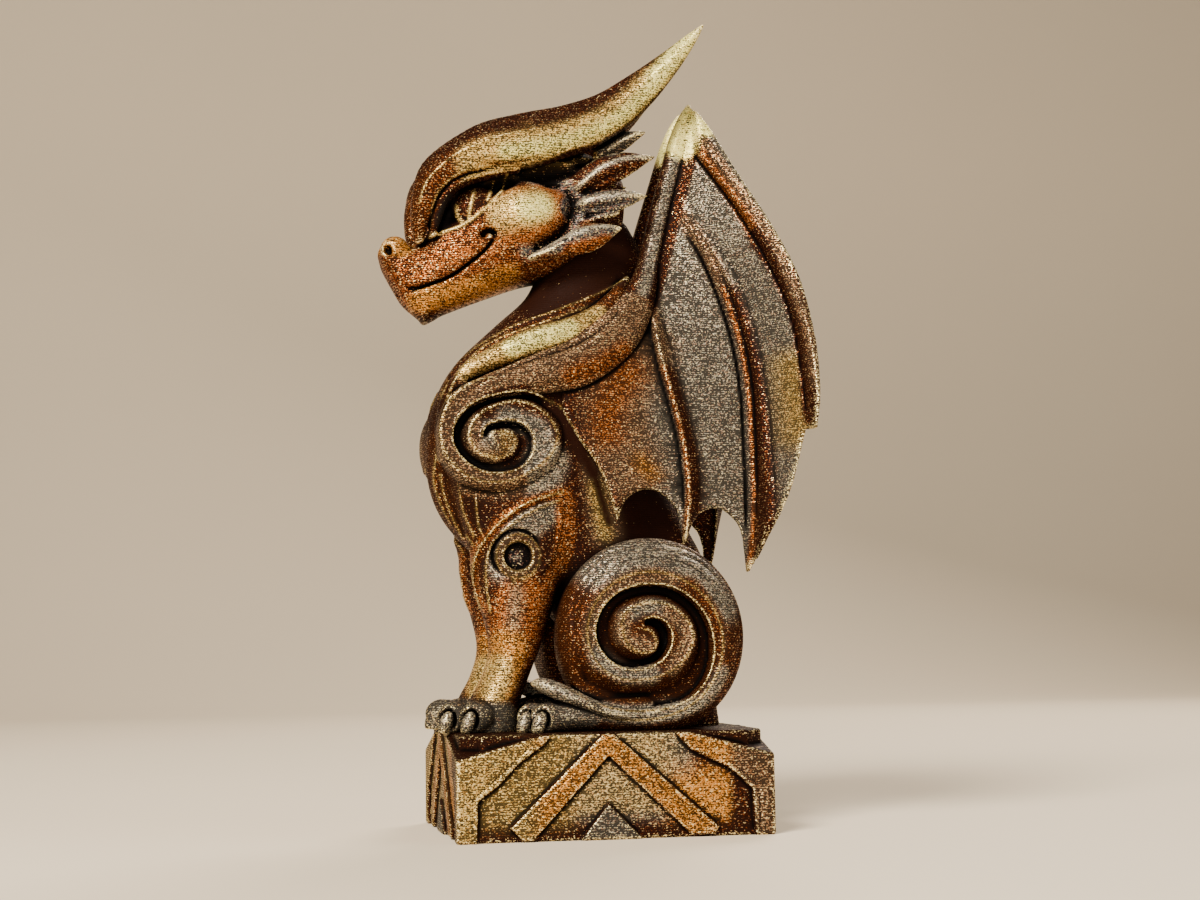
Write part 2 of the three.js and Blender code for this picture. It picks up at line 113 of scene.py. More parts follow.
def line_distance(x: np.ndarray, z: np.ndarray, line: Line) -> Pair:
    """How far places are from a line in the XZ plane.

    Args:
        x: The places' X, in any shape that broadcasts with `z`.
        z: Their Z.
        line: The line's points.

    Returns:
        The distance, and the place along the line from 0 to 1.
    """
    points = np.asarray(line, float)[:, :2]
    best = np.full(np.broadcast(x, z).shape, FAR, np.float32)
    along = np.zeros_like(best)
    last = len(points) - 1
    for i, (start, end) in enumerate(zip(points, points[1:])):
        step = end - start
        t = ((x - start[0]) * step[0] + (z - start[1]) * step[1]) / max(step @ step, TINY)
        t = np.clip(t, 0, 1)
        distance = np.hypot(x - start[0] - t * step[0], z - start[1] - t * step[1])
        nearer = distance < best
        best = np.where(nearer, distance, best)
        along = np.where(nearer, (i + t) / last, along)
    return best, along


def around(centre: Sequence[float], reach: Union[float, Sequence[float]], turns: Sequence[float]) -> Line:
    """Points round a centre on the left side, at `turns` in degrees clockwise from straight up."""
    turn = np.radians(turns)
    return np.stack([centre[0] + reach * np.sin(turn), centre[1] + reach * np.cos(turn)], axis=1)


def seen(rows: Rows) -> Line:
    """A limb's middle line, seen from the side."""
    return [(row[0], row[2]) for row in rows]


def superellipse(shares: Sequence[np.ndarray], sizes: Sequence[np.ndarray], power: float) -> np.ndarray:
    """Signed distance to a superellipse, close to its skin.

    Args:
        shares: How far out the places are along each axis, as a share of the half-size there.
        sizes: The half-sizes.
        power: 2 for an ellipse, and more for a boxier section.

    Returns:
        The distances.
    """
    near = sum(share**power for share in shares) ** (1 / power) + SOFT_MIDDLE
    steep = np.sqrt(sum((share ** (power - 1) / size) ** 2 for share, size in zip(shares, sizes)))
    return (near - 1) / (near ** (1 - power) * steep + LEAST_SLOPE)


def outline_distance(x: np.ndarray, z: np.ndarray, outline: Line) -> np.ndarray:
    """Signed distance to a closed outline in the XZ plane, negative inside it."""
    points = np.asarray(outline, float)
    distance, _ = line_distance(x, z, np.vstack([points, points[:1]]))
    inside = np.zeros(distance.shape, bool)
    for (x0, z0), (x1, z1) in zip(points, np.roll(points, -1, axis=0)):
        crosses = (z0 > z) != (z1 > z)
        inside ^= crosses & (x < (x1 - x0) * (z - z0) / ((z1 - z0) or TINY) + x0)
    return np.where(inside, -distance, distance)


class Form(Protocol):
    """A body that can be joined on to clay or cut out of it."""

    def box(self) -> Pair:
        """Its lowest and highest corner."""

    def distance(self, x: np.ndarray, y: np.ndarray, z: np.ndarray) -> np.ndarray:
        """Signed distance to it."""


@dataclass(frozen=True)
class Ball:
    """An ellipsoid, which may lean in the XZ plane."""

    centre: Sequence[float]
    radii: Sequence[float]
    lean: float = 0.0

    def box(self) -> Pair:
        """Its lowest and highest corner."""
        reach = max(self.radii)
        return np.subtract(self.centre, reach), np.add(self.centre, reach)

    def distance(self, x: np.ndarray, y: np.ndarray, z: np.ndarray) -> np.ndarray:
        """Signed distance to it."""
        cos, sin = math.cos(math.radians(self.lean)), math.sin(math.radians(self.lean))
        dx, dz = x - self.centre[0], z - self.centre[2]
        along, across = dx * cos + dz * sin, dz * cos - dx * sin
        out = y - self.centre[1]
        a, b, c = self.radii
        near = np.sqrt((along / a) ** 2 + (out / b) ** 2 + (across / c) ** 2) + TINY
        slope = np.sqrt((along / a**2) ** 2 + (out / b**2) ** 2 + (across / c**2) ** 2) + TINY
        return near * (near - 1) / slope


@dataclass(frozen=True)
class Loft:
    """A body through flat slices square to one axis.

    A row holds the slice's level and then its extents along the two other axes, and `power` above 2
    makes the slices boxier than an ellipse.
    """

    axis: int
    rows: Rows
    power: float = 2.0
    round_end: float = 0.6

    THINNEST = 0.05
    POINTS_PER_STATION = 8

    def box(self) -> Pair:
        """Its lowest and highest corner."""
        rows = np.asarray(self.rows, float)
        low, high = np.empty(3), np.empty(3)
        low[self.axis], high[self.axis] = rows[:, 0].min(), rows[:, 0].max()
        for column, other in enumerate([k for k in range(3) if k != self.axis]):
            low[other], high[other] = rows[:, 1 + 2 * column].min(), rows[:, 2 + 2 * column].max()
        return low, high

    def distance(self, x: np.ndarray, y: np.ndarray, z: np.ndarray) -> np.ndarray:
        """Signed distance to it."""
        places = [x, y, z]
        level = places.pop(self.axis)
        table = smooth(self.rows, self.POINTS_PER_STATION * len(self.rows))
        table = table[np.argsort(table[:, 0])]
        columns = (np.interp(level, table[:, 0], table[:, k]) for k in range(1, 5))
        a0, a1, b0, b1 = (column.astype(np.float32) for column in columns)
        half_a, half_b = np.maximum((a1 - a0) / 2, self.THINNEST), np.maximum((b1 - b0) / 2, self.THINNEST)
        u = np.abs(places[0] - (a0 + a1) / 2) / half_a
        v = np.abs(places[1] - (b0 + b1) / 2) / half_b
        side = superellipse((u, v), (half_a, half_b), self.power)
        end = np.maximum(table[0, 0] - level, level - table[-1, 0])
        return common(side, end, self.round_end)


@dataclass(frozen=True)
class Limb:
    """A tapering body along a line that bends in the XZ plane.

    A row holds X, Y and Z of its middle line, its half-thickness across the line in XZ, and its
    half-thickness in Y. `power` above 2 makes its section boxier, and below 2 sharper. A facet cuts
    the section's outer corner on the line's left or right side, at that share of its size.
    """

    rows: Rows
    power: float = 2.0
    facets: tuple[Optional[float], Optional[float]] = (None, None)
    count: int = 24

    THINNEST = 0.12
    MARGIN = 2.0
    FACET_ROUNDING = 0.12

    def box(self) -> Pair:
        """Its lowest and highest corner."""
        rows = np.asarray(self.rows, float)
        reach = rows[:, 3:5].max(axis=1)[:, None]
        return (rows[:, :3] - reach).min(axis=0), (rows[:, :3] + reach).max(axis=0)

    def distance(self, x: np.ndarray, y: np.ndarray, z: np.ndarray) -> np.ndarray:
        """Signed distance to it."""
        stations = smooth(self.rows, self.count)
        stations[:, 3:] = np.maximum(stations[:, 3:], self.THINNEST)
        best = np.full(np.broadcast(x, y, z).shape, FAR, np.float32)
        for start, end in zip(stations, stations[1:]):
            reach = max(start[3:].max(), end[3:].max()) + self.MARGIN
            low, high = np.minimum(start[:3], end[:3]) - reach, np.maximum(start[:3], end[:3]) + reach
            # Only the part of the grid near this stretch is worked out
            spans = zip((x, y, z), low, high)
            cut = tuple(slice(*np.searchsorted(axis.ravel(), (a, b))) for axis, a, b in spans)
            if any(part.start >= part.stop for part in cut):
                continue
            piece = self._segment(x[cut[0]], y[:, cut[1]], z[:, :, cut[2]], start, end)
            best[cut] = np.minimum(best[cut], piece)
        return best

    def _segment(
        self, x: np.ndarray, y: np.ndarray, z: np.ndarray, start: np.ndarray, end: np.ndarray
    ) -> np.ndarray:
        """Signed distance to the stretch between two stations.

        Args:
            x: X of the places.
            y: Their Y.
            z: Their Z.
            start: The first station.
            end: The next one.

        Returns:
            The distances.
        """
        step = end - start
        length = math.hypot(step[0], step[2])
        tx, tz = step[0] / length, step[2] / length
        along = (x - start[0]) * tx + (z - start[2]) * tz
        h = np.clip(along / length, 0, 1)
        over = along - h * length
        across = (z - start[2]) * tx - (x - start[0]) * tz
        out = -(y - start[1] - h * step[1])
        a, b = start[3] + h * step[3], start[4] + h * step[4]
        shares = np.abs(across) / a, np.abs(out) / b, np.abs(over) / a
        distance = superellipse(shares, (a, b, a), self.power)
        for sign, share in zip((1, -1), self.facets):
            if share is not None:
                facet = ((sign * across / a + out / b) / math.sqrt(2) - share) * (a + b) / 2
                distance = common(distance, facet, self.FACET_ROUNDING)
        return distance


class Clay:
    """A block of clay: signed distances in millimetres on a grid, negative inside the body.

    A mirrored block holds the half at negative Y and a margin beyond the middle plane, and is folded
    over when it is done.
    """

    MARGIN = 1.6
    POINTS_PER_STATION = 6
    LINE_REACH = 3
    LINE_TAPER = 8
    LINE_END = 0.25
    LINE_FADE = 1.0
    SMOOTHING_PASSES = 2

    def __init__(
        self, low: Sequence[float], high: Sequence[float], step: float, mirrored: bool = True
    ) -> None:
        """An empty block.

        Args:
            low: Its lowest corner.
            high: Its highest corner.
            step: The grid's step.
            mirrored: Whether it holds one half of a body with two like halves.
        """
        self.step, self.mirrored = step, mirrored
        first = [math.floor(a / step) for a in low]
        counts = [int(math.ceil(b / step)) - a + 1 for a, b in zip(first, high)]
        self.axes = [np.float32(step * (a + np.arange(n))) for a, n in zip(first, counts)]
        self.field = np.full(counts, FAR, np.float32)

    def window(
        self, low: Sequence[float], high: Sequence[float]
    ) -> tuple[tuple[slice, ...], tuple[np.ndarray, np.ndarray, np.ndarray]]:
        """The part of the grid in a box.

        Args:
            low: The box's lowest corner.
            high: Its highest corner.

        Returns:
            The slices of the grid, and its X, Y and Z there, ready to broadcast.
        """
        cut = tuple(
            slice(*np.searchsorted(axis, (a, b))) for axis, a, b in zip(self.axes, low, high)
        )
        x, y, z = (axis[part] for axis, part in zip(self.axes, cut))
        return cut, (x[:, None, None], y[None, :, None], z[None, None, :])

    def add(self, form: Form, blend: float = 0.0) -> None:
        """Joins a form on, with a fillet of about `blend`."""
        low, high = form.box()
        cut, places = self.window(low - self.MARGIN - blend, high + self.MARGIN + blend)
        self.field[cut] = union(self.field[cut], form.distance(*places), blend)

    def cut(self, form: Form, blend: float = 0.0) -> None:
        """Takes a form away, with the edge rounded by about `blend`."""
        low, high = form.box()
        cut, places = self.window(low - self.MARGIN, high + self.MARGIN)
        self.field[cut] = common(self.field[cut], -form.distance(*places), blend)

    def lines(
        self, lines: Iterable[Line], rise: float, width: float, y_from: float, y_to: float
    ) -> None:
        """Raises or sinks the skin along lines drawn on the dragon's side.

        Args:
            lines: The lines, as X and Z.
            rise: How far the skin moves out, and in where it is negative.
            width: The lines' half-width.
            y_from: The lowest Y that they reach.
            y_to: The highest.
        """
        for line in lines:
            points = smooth(line, self.POINTS_PER_STATION * len(line))
            reach = self.LINE_REACH * width
            low, high = points.min(axis=0) - reach, points.max(axis=0) + reach
            start, end = y_from - self.LINE_FADE, y_to + self.LINE_FADE
            cut, (x, y, z) = self.window((low[0], start, low[1]), (high[0], end, high[1]))
            distance, along = line_distance(x[:, 0], z[0], points)
            taper = np.minimum(1, self.LINE_TAPER * np.minimum(along, 1 - along) + self.LINE_END)
            profile = rise * taper * bump(distance, width)
            self.field[cut] -= profile[:, None, :] * band(y, start, y_from, y_to, end)

    def mirror(self) -> None:
        """Folds what crosses the middle plane back, so that the two halves meet."""
        y = self.axes[1]
        middle = int(round(-y[0] / self.step))
        width = len(y) - 1 - middle
        near = self.field[:, middle - width : middle + 1]
        self.field[:, middle - width : middle + 1] = np.minimum(near, self.field[:, middle:][:, ::-1])

    def whole(self) -> Pair:
        """The whole body.

        Returns:
            The whole field, and its lowest corner.
        """
        y = self.axes[1]
        low = np.array([self.axes[0][0], y[0], self.axes[2][0]])
        if not self.mirrored:
            return self.field, low
        half = self.field[:, : int(round(-y[0] / self.step)) + 1]
        return np.concatenate([half, half[:, -2::-1]], axis=1), low

    def crowding(self, reach: float) -> np.ndarray:
        """How full of clay the space around each place is, from 0 to 1, within about `reach`."""
        full = np.clip(0.5 - self.field / (2 * self.step), 0, 1)
        cells = max(1, int(round(reach / self.step)))
        for axis in range(3):
            full = np.moveaxis(full, axis, 0)
            # Running means along each axis in turn come close to a round blur
            for _ in range(self.SMOOTHING_PASSES):
                padded = np.concatenate([full[:1].repeat(cells + 1, 0), full, full[-1:].repeat(cells, 0)])
                total = np.cumsum(padded, axis=0, dtype=np.float32)
                full = (total[2 * cells + 1 :] - total[: -2 * cells - 1]) / (2 * cells + 1)
            full = np.moveaxis(full, 0, axis)
        return full

    def read(self, values: np.ndarray, places: np.ndarray) -> np.ndarray:
        """Values on the grid, read at places of either half.

        Args:
            values: The values, on this block's grid.
            places: Their X, Y and Z.

        Returns:
            One value a place.
        """
        low = np.array([axis[0] for axis in self.axes])
        at = places.copy()
        if self.mirrored:
            at[:, 1] = -np.abs(at[:, 1])
        at = (at - low) / self.step
        top = np.array(values.shape) - 2
        base = np.clip(np.floor(at).astype(int), 0, top)
        share = np.clip(at - base, 0, 1)
        total = np.zeros(len(places))
        for corner in product((0, 1), repeat=3):
            weight = np.prod([share[:, k] if c else 1 - share[:, k] for k, c in enumerate(corner)], axis=0)
            total += weight * values[tuple((base + corner).T)]
        return total


def surface(values: np.ndarray, low: np.ndarray, step: float) -> Pair:
    """The skin of a field of signed distances.

    Args:
        values: The field.
        low: Its lowest corner.
        step: Its step.

    Returns:
        The skin's vertices, and its four-sided faces as rows of indices.
    """
    # A cell is active where its corners lie on both sides of the skin
    inside = values < 0
    corners = list(product((0, 1), repeat=3))
    shape = np.array(values.shape) - 1
    number = np.zeros(shape, np.uint8)
    for i, j, k in corners:
        number += inside[i : i + shape[0], j : j + shape[1], k : k + shape[2]]
    active = (number > 0) & (number < 8)
    cells = np.argwhere(active)
    index = np.full(shape, -1, np.int64)
    index[active] = np.arange(len(cells))
    # Each active cell gets one vertex, at the mean of the places where the skin crosses its edges
    total, crossings = np.zeros((len(cells), 3)), np.zeros(len(cells))
    for axis, (i, j) in product(range(3), product((0, 1), repeat=2)):
        start = cells.copy()
        start[:, (axis + 1) % 3] += i
        start[:, (axis + 2) % 3] += j
        end = start.copy()
        end[:, axis] += 1
        a, b = values[tuple(start.T)], values[tuple(end.T)]
        crosses = (a < 0) != (b < 0)
        point = start.astype(float)
        point[:, axis] += np.where(crosses, a / np.where(crosses, a - b, 1), 0)
        total[crosses] += point[crosses]
        crossings[crosses] += 1
    vertices = low + step * total / crossings[:, None]
    # Each edge of the grid that the skin crosses gets one face, between the four cells round it
    faces = []
    for axis in range(3):
        u, v = (axis + 1) % 3, (axis + 2) % 3
        a = np.moveaxis(np.moveaxis(inside, axis, 0)[:-1], 0, axis)
        b = np.moveaxis(np.moveaxis(inside, axis, 0)[1:], 0, axis)
        edges = np.argwhere(a != b)
        at_u, at_v = edges[:, u], edges[:, v]
        edges = edges[(at_u > 0) & (at_v > 0) & (at_u < shape[u]) & (at_v < shape[v])]
        outward = a[tuple(edges.T)]
        one_u, one_v = np.eye(3, dtype=int)[u], np.eye(3, dtype=int)[v]
        ring = [edges - one_u - one_v, edges - one_v, edges, edges - one_u]
        quads = np.stack([index[tuple(cell.T)] for cell in ring], axis=1)
        faces.append(np.where(outward[:, None], quads, quads[:, ::-1]))
    return vertices, np.concatenate(faces)


def set_up(name: str, data: bpy.types.ID) -> bpy.types.Object:
    """A new object in the scene, with this data."""
    thing = bpy.data.objects.new(name, data)
    bpy.context.scene.collection.objects.link(thing)
    return thing


def mesh_piece(name: str, vertices: np.ndarray, faces: np.ndarray, triangles: int) -> bpy.types.Object:
    """A smooth mesh object, thinned out to a number of triangles.

    Args:
        name: The piece's name.
        vertices: Its vertices in millimetres.
        faces: Its four-sided faces.
        triangles: The most triangles that it may keep.

    Returns:
        The object, in metres.
    """
    mesh = bpy.data.meshes.new(name)
    mesh.vertices.add(len(vertices))
    mesh.vertices.foreach_set("co", (vertices * MM).astype(np.float32).ravel())
    mesh.loops.add(faces.size)
    mesh.loops.foreach_set("vertex_index", faces.astype(np.int32).ravel())
    mesh.polygons.add(len(faces))
    mesh.polygons.foreach_set("loop_start", np.arange(0, faces.size, 4, dtype=np.int32))
    mesh.update(calc_edges=True)
    mesh.validate()
    piece = set_up(name, mesh)
    if 2 * len(faces) > triangles:
        thin = piece.modifiers.new("thin", "DECIMATE")
        thin.ratio = triangles / (2 * len(faces))
        graph = bpy.context.evaluated_depsgraph_get()
        piece.data = bpy.data.meshes.new_from_object(piece.evaluated_get(graph))
        piece.modifiers.clear()
        piece.data.name = name
    piece.data.polygons.foreach_set("use_smooth", np.ones(len(piece.data.polygons), bool))
    return piece


def skin_arrays(piece: bpy.types.Object) -> Pair:
    """A piece's vertices in millimetres, and its vertex normals."""
    count = len(piece.data.vertices)
    places, normals = np.empty(3 * count, np.float32), np.empty(3 * count, np.float32)
    piece.data.vertices.foreach_get("co", places)
    piece.data.vertex_normals.foreach_get("vector", normals)
    return places.reshape(-1, 3).astype(float) / MM, normals.reshape(-1, 3).astype(float)


class Wax(Enum):
    """The metallic waxes that are brushed over the dark coat, as sRGB colours."""

    PALE = (1.0, 0.96, 0.58)
    GOLD = (0.87, 0.73, 0.42)
    AMBER = (0.83, 0.56, 0.24)
    COPPER = (0.68, 0.38, 0.16)
    EMBER = (0.57, 0.30, 0.12)
    BRONZE = (0.67, 0.53, 0.40)
    RUST = (0.42, 0.21, 0.12)
    SILVER = (0.68, 0.655, 0.59)
    SMOKE = (0.33, 0.33, 0.335)


class Facing(Enum):
    """Which skin a stroke keeps to, by where it looks."""

    ANY = 0
    SIDE = 1
    IN = 2


def linear(colour: Sequence[float]) -> np.ndarray:
    """An sRGB colour as linear light."""
    value = np.asarray(colour, float)
    return np.where(value <= 0.04045, value / 12.92, ((value + 0.055) / 1.055) ** 2.4)


def opaque(colour: Sequence[float], shade: float = 1.0) -> tuple[float, ...]:
    """An sRGB colour as a socket takes it, darkened to a share of its light."""
    return (*(linear(colour) * shade), 1.0)


@dataclass(frozen=True)
class Stroke:
    """A brush stroke of wax along a line on the dragon's side.

    It reaches `radius` from the line and fades out over `fade`. `cover` is how thick the wax is, below
    zero where the coat is kept bare. It is kept to places at least `out` and at most `within` from the
    middle plane.
    """

    wax: Wax
    line: Line
    radius: float
    cover: float
    fade: float = 1.0
    facing: Facing = Facing.ANY
    out: float = 0.0
    within: float = FAR

    EDGE = 0.5
    SIDEWAYS = (0.35, 0.75)
    INWARDS = (-0.1, 0.3)
    POINTS_PER_STATION = 4

    def share(self, places: np.ndarray, normals: np.ndarray) -> np.ndarray:
        """How much of this stroke each place has.

        Args:
            places: The places, in millimetres.
            normals: The skin's normals there.

        Returns:
            A share from 0 to 1 for each place.
        """
        line = smooth(self.line, self.POINTS_PER_STATION * len(self.line))
        reach = self.radius + self.fade
        flat, out = places[:, (0, 2)], np.abs(places[:, 1])
        near = np.all((flat > line.min(axis=0) - reach) & (flat < line.max(axis=0) + reach), axis=1)
        near &= (out > self.out - self.EDGE) & (out < self.within + self.EDGE)
        distance, _ = line_distance(flat[near, 0], flat[near, 1], line)
        share = np.zeros(len(places))
        share[near] = 1 - ramp(distance, self.radius, reach)
        limits = (limit + side for limit in (self.out, self.within) for side in (-self.EDGE, self.EDGE))
        share = share * band(out, *limits)
        outward = np.sign(places[:, 1]) * normals[:, 1]
        kept = {
            Facing.ANY: 1.0,
            Facing.SIDE: ramp(outward, *self.SIDEWAYS),
            Facing.IN: ramp(-outward, *self.INWARDS),
        }
        return share * kept[self.facing]


@dataclass(frozen=True)
class Volute:
    """A coil cut into a side, as one groove that winds clockwise outwards, seen from the left.

    `crest` and `wall` hold the radii of the groove's inner and outer edge at every eighth of a turn,
    from the angle `start`, clockwise from straight up. The groove's inner side slopes and its outer
    side is steep, and each edge carries a fine bead. The bands between its turns are dished. It starts
    at a share of its depth and is whole after `opening` degrees, it runs out over the last `closing`,
    and its beads and dish fade over the last `fading`.
    """

    centre: tuple[float, float]
    start: float
    crest: Sequence[float]
    wall: Sequence[float]
    depth: float
    slope: float = 0.55
    lip: float = 0.12
    bead: float = 0.16
    bead_width: float = 0.15
    inner_bead: float = -0.12
    outer_bead: float = 0.22
    dish: float = 0.22
    shallow: float = 0.35
    opening: float = 60.0
    closing: float = 0.0
    fading: float = 60.0

    EIGHTH = 45.0
    NARROWEST = 0.3
    GILT_OUTSIDE = 0.2
    GILT_INSIDE = -0.1
    POINTS_PER_STATION = 8

    def radius(self, radii: Sequence[float], angle: np.ndarray) -> np.ndarray:
        """A radius of the coil at an unwound angle."""
        fine = smooth(np.asarray(radii)[:, None], self.POINTS_PER_STATION * len(radii))[:, 0]
        angles = self.start + self.EIGHTH * np.linspace(0, len(radii) - 1, len(fine))
        return np.interp(angle, angles, fine)

    def edge(self, radii: Sequence[float], offset: float) -> np.ndarray:
        """The line along one edge of the groove, moved out by `offset`."""
        angles = self.start + self.EIGHTH / 2 * np.arange(2 * len(radii) - 1)
        return around(self.centre, self.radius(radii, angles) + offset, angles)

    def gilding(self, wax: Wax, out: float) -> list[Stroke]:
        """Thin strokes of a wax along both edges of the groove, at least `out` from the middle plane."""
        lines = self.edge(self.wall, self.GILT_OUTSIDE), self.edge(self.crest, self.GILT_INSIDE)
        return [Stroke(wax, line, 0.0, 0.5, 0.22, facing=Facing.SIDE, out=out) for line in lines]

    def sunk(self, x: np.ndarray, z: np.ndarray) -> np.ndarray:
        """How deep the side lies at each place.

        Args:
            x: The places' X.
            z: Their Z.

        Returns:
            The depths below the coil's face, in millimetres.
        """
        dx, dz = x - self.centre[0], z - self.centre[1]
        reach = np.hypot(dx, dz)
        turn = np.degrees(np.arctan2(dx, dz)) % 360
        depth = np.zeros(np.broadcast(x, z).shape)
        last = self.start + self.EIGHTH * (len(self.wall) - 1)
        for wind in range(int(self.start // 360), int(last // 360) + 1):
            # The groove on this turn
            angle = turn + 360 * wind
            within = (angle >= self.start) & (angle <= last)
            crest, wall = self.radius(self.crest, angle), self.radius(self.wall, angle)
            across = (reach - crest) / np.maximum(wall - crest, self.NARROWEST)
            floor = ramp(across, 0, self.slope) * (1 - ramp(reach, wall - self.lip, wall + self.lip))
            whole = self.shallow + (1 - self.shallow) * ramp(angle, self.start, self.start + self.opening)
            if self.closing:
                whole = whole * (1 - ramp(angle, last - self.closing, last))
            depth = np.maximum(depth, self.depth * whole * floor * within)
            # The beads on its edges, and the dish in the band up to the next turn
            fading = within * (1 - ramp(angle, last - self.fading, last))
            beads = bump(reach - wall - self.outer_bead, self.bead_width)
            beads = beads + bump(reach - crest - self.inner_bead, self.bead_width)
            outer = self.radius(self.crest, angle + 360)
            middle = np.clip((reach - wall) / np.maximum(outer - wall, self.NARROWEST), 0, 1)
            depth = depth + (self.dish * 4 * middle * (1 - middle) - self.bead * beads) * fading
        return depth

    def outside(self, x: np.ndarray, z: np.ndarray, sweep: float) -> np.ndarray:
        """How far places lie outside the outermost band, on the last turn that ends at `sweep`."""
        dx, dz = x - self.centre[0], z - self.centre[1]
        behind = (sweep - np.degrees(np.arctan2(dx, dz))) % 360
        ends = self.radius(self.crest, np.array((sweep - 360, sweep)))
        # The band's two ends differ in radius, so the step between them is spread out
        seam = (ends[1] - ends[0]) * ramp(behind, 360 - self.fading, 360)
        return np.hypot(dx, dz) - self.radius(self.crest, sweep - behind) - seam


@dataclass(frozen=True)
class CoiledSide:
    """A body with a coil on its outer side: the body, the coil, and how the side falls away round it."""

    body: Loft
    coil: Volute
    face: float
    sweep: float
    fall: float
    blend: float
    rings: Sequence[float] = ()
    ring_rise: float = 0.14
    ring_width: float = 0.14
    fall_power: float = 1.5

    def box(self) -> Pair:
        """Its lowest and highest corner."""
        return self.body.box()

    def distance(self, x: np.ndarray, y: np.ndarray, z: np.ndarray) -> np.ndarray:
        """Signed distance to it."""
        flat_x, flat_z = x[:, 0], z[0]
        out = np.maximum(self.coil.outside(flat_x, flat_z, self.sweep), 0)
        fall = self.fall * out**self.fall_power
        for ring in self.rings:
            fall = fall - self.ring_rise * bump(out - ring, self.ring_width)
        height = self.face - self.coil.sunk(flat_x, flat_z) - fall
        side = -y - height[:, None, :]
        return common(self.body.distance(x, y, z), side.astype(np.float32), self.blend)


